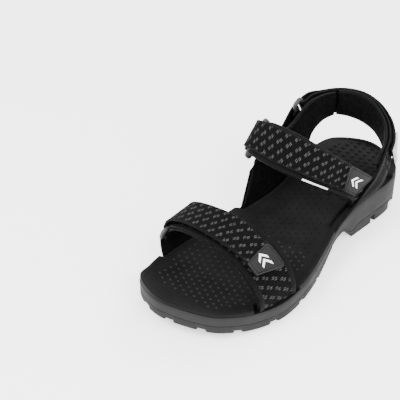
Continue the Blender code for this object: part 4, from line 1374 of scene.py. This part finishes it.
def make_heel_pad():
    """The padded lining of the heel strap, from the outer side panel to its seam."""
    strip = Strip(*HEEL["edges"], HEEL["heart"])
    width = strip.width(0.4)
    shares = shares_across(width, 2.4, middle=12)
    lift = -WEB - GAP - PAD / 2
    points, normals = strip.rows((0.0, 0.0), (PAD_END,) * 2, 84, shares, (0.0, 1.0), lift)
    foot = np.array([lerp(np.array(PAD_LOW_START, float), np.array(PAD_HIGH_START, float), f)
                     for f in shares])
    lead, lead_normals = [], []
    for i in range(10):
        t = i / 10
        lead.append(lerp(foot, points[0], t))
        mixed = lerp(np.array((-1.0, 0.0, 0.0)), normals[0, 0], t)
        lead_normals.append([unit(mixed)] * len(shares))
    points, normals = join_rows((np.array(lead), np.array(lead_normals)), (points, normals))
    rows = len(points)
    insets = [min(f, 1 - f) * width for f in shares]
    outer = np.array([PAD / 2 * rounded(d, 2.6, 0.3) for d in insets])
    crown = np.array([smoothstep(d, 1.0, 9.0) for d in insets])
    ends = np.array([smoothstep(min(i, rows - 1 - i), 0, 5) for i in range(rows)])
    inner = outer[None] * (0.7 + 0.3 * ends[:, None]) + PAD_CROWN * crown[None] * ends[:, None]
    piece = ribbon("heel_pad_cushion", points, normals, np.broadcast_to(outer, inner.shape), inner,
                   [MATS["lining"], MATS["binding"]], "base", border=2.0)
    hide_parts("heel_pad")
    inflate(piece)


def make_quarters():
    """The side panels: a woven skin and a padded lining inside, a plain skin outside."""
    quarter = Strip([base_point(1, y, 2.3) for y in QUARTER_BASE], QUARTER_TOP, (0, -40, 50))
    panel("medial_quarter", quarter, -WEB / 2, WEB, "textile")
    low = [base_point(1, y, 4.2, 0.7) for y in LINING_BASE] + [np.array(p, float) for p in LINING_ARM]
    lining = Strip(low, LINING_TOP, (0, -60, 60))
    panel("medial_quarter_lining", lining, -LINING / 2, LINING, "lining", padded=True)
    low = [base_point(-1, y, 0.4) for y in LATERAL_BASE] + [np.array(p, float) for p in LATERAL_ARM]
    lateral = Strip(low, LATERAL_TOP, (0, -60, 40))
    panel("lateral_quarter", lateral, -WEB / 2, WEB, "webbing")


def panel(node, strip, lift, thick, material, padded=False):
    shares = [0.0, 0.01, 0.03] + list(np.linspace(0.06, 0.88, 18)) + [0.92, 0.935, 0.95, 0.97, 0.985,
                                                                      0.995, 1.0]
    points, normals = strip.rows((0.0, 0.0), (1.0, 1.0), 100, shares, (0.0, 1.0), lift)
    heights = np.array([thick / 2 * rounded(1 - f, 0.02, 0.4) + PANEL_RIM * (0.93 < f < 0.999)
                        for f in shares])
    inner = heights
    if padded:
        crown = [smoothstep(f, 0.05, 0.4) * (1 - smoothstep(f, 0.7, 0.93)) for f in shares]
        inner = heights + PANEL_CROWN * np.array(crown)
    piece = ribbon(node + "_panel", points, normals, heights, inner, [MATS[material], MATS["binding"]],
                   "base",
                   border=2.6)
    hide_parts(node)
    line_points, line_normals = strip_line(strip, 0.02, 0.98, 0.925, lift + thick / 2 + 0.15)
    stitch_row([(line_points, line_normals)], node + "_stitches", MATS["thread"], "base")
    if padded:
        inflate(piece)


# Padding ------------------------------------------------------------------------------------

def coordinates(mesh):
    flat = np.zeros(len(mesh.vertices) * 3)
    mesh.vertices.foreach_get("co", flat)
    return flat.reshape(-1, 3)


def tree_of(points):
    tree = KDTree(len(points))
    for i, point in enumerate(points):
        tree.insert(point, i)
    tree.balance()
    return tree


def coarse_copy(piece):
    """An even, coarse grid of a piece's shape to run the cloth on."""
    coarse = bpy.data.objects.new(piece.name + "_puff", piece.data.copy())
    bpy.context.scene.collection.objects.link(coarse)
    coarse.matrix_world = piece.matrix_world
    grid = coarse.modifiers.new("grid", "REMESH")
    grid.mode = "VOXEL"
    grid.voxel_size = PUFF_VOXEL
    mesh = bpy.data.meshes.new_from_object(coarse.evaluated_get(bpy.context.evaluated_depsgraph_get()))
    coarse.modifiers.clear()
    coarse.data = mesh
    return coarse


def pin_seams(coarse, piece):
    """Hold the coarse grid where the piece has its stitched binding."""
    mesh = piece.data
    bound = sorted({v for face in mesh.polygons if face.material_index == 1 for v in face.vertices})
    seams = tree_of([mesh.vertices[v].co for v in bound])
    group = coarse.vertex_groups.new(name="seam")
    held = [v.index for v in coarse.data.vertices if seams.find(v.co)[2] < SEAM_REACH]
    group.add(held, 1.0, "REPLACE")


def simulate(coarse):
    """How far each point of the coarse grid moves when it is blown up between its seams."""
    cloth = coarse.modifiers.new("cloth", "CLOTH")
    settings = cloth.settings
    settings.quality = 10
    settings.mass = PUFF_MASS
    settings.tension_stiffness = PUFF_STIFFNESS
    settings.compression_stiffness = PUFF_STIFFNESS
    settings.shear_stiffness = PUFF_STIFFNESS / 3
    settings.bending_stiffness = PUFF_STIFFNESS / 30
    settings.use_pressure = True
    settings.uniform_pressure_force = PUFF_PRESSURE
    settings.vertex_group_mass = "seam"
    settings.effector_weights.gravity = 0.0
    cloth.point_cache.frame_end = PUFF_FRAMES
    rest = coordinates(coarse.data)
    for number in range(1, PUFF_FRAMES + 1):
        bpy.context.scene.frame_set(number)
    moved = coordinates(coarse.evaluated_get(bpy.context.evaluated_depsgraph_get()).data)
    shift = moved - rest
    length = np.linalg.norm(shift, axis=1, keepdims=True)
    return rest, shift * np.minimum(1.0, PUFF_CAP / np.maximum(length, 1e-9))


def inflate(piece):
    """Give a padded piece's inner side the swelling of a cloth simulation."""
    coarse = coarse_copy(piece)
    pin_seams(coarse, piece)
    rest, shift = simulate(coarse)
    nearby = tree_of(rest)
    points = coordinates(piece.data)
    for i in range(len(points) // 2, len(points)):
        found = nearby.find_n(points[i], 4)
        weights = np.array([1 / (distance + 1e-5) for _, _, distance in found])
        moves = np.array([shift[index] for _, index, _ in found])
        points[i] += (moves * weights[:, None]).sum(axis=0) / weights.sum()
    piece.data.vertices.foreach_set("co", points.ravel())
    piece.data.update()
    bpy.context.scene.frame_set(1)
    bpy.data.objects.remove(coarse)


# Studio -------------------------------------------------------------------------------------
def make_camera():
    data = bpy.data.cameras.new("camera")
    data.lens = CAMERA_LENS
    data.sensor_width = SENSOR
    camera = bpy.data.objects.new("camera", data)
    bpy.context.scene.collection.objects.link(camera)
    a, e = radians(CAMERA_AZIMUTH), radians(CAMERA_ELEVATION)
    back = Vector((sin(a) * cos(e), -cos(a) * cos(e), sin(e)))
    camera.location = Vector(CAMERA_TARGET) + back * CAMERA_DISTANCE
    camera.rotation_mode = "QUATERNION"
    camera.rotation_quaternion = (-back).to_track_quat("-Z", "Y")
    bpy.context.scene.camera = camera


def add_light(name, place, size, power):
    data = bpy.data.lights.new(name, "AREA")
    data.size = size
    data.energy = power
    light = bpy.data.objects.new(name, data)
    light.location = place
    light.rotation_mode = "QUATERNION"
    light.rotation_quaternion = Vector(place).to_track_quat("Z", "Y")
    bpy.context.scene.collection.objects.link(light)


def make_studio():
    world = bpy.data.worlds.new("studio")
    world.use_nodes = True
    world.node_tree.nodes["Background"].inputs["Color"].default_value = (1.0, 1.0, 1.0, 1.0)
    world.node_tree.nodes["Background"].inputs["Strength"].default_value = WORLD_LIGHT
    bpy.context.scene.world = world
    for light in LIGHTS:
        add_light(*light)
    mesh = bpy.data.meshes.new("floor")
    corners = [(x * FLOOR_HALF, y * FLOOR_HALF, 0) for x, y in ((-1, -1), (1, -1), (1, 1), (-1, 1))]
    mesh.from_pydata(corners, [], [(0, 1, 2, 3)])
    floor = bpy.data.objects.new("floor", mesh)
    s = Shader("floor_look", 0.9)
    s.colour((FLOOR_COLOUR,) * 3)
    s.shader.inputs["Emission Color"].default_value = (1.0, 1.0, 1.0, 1.0)
    s.shader.inputs["Emission Strength"].default_value = 1.0
    mesh.materials.append(s.material)
    bpy.context.scene.collection.objects.link(floor)


make_camera()
make_studio()
make_midsole()
make_footbed()
make_outsole()
make_forefoot()
make_instep()
make_heel()
make_heel_pad()
make_quarters()
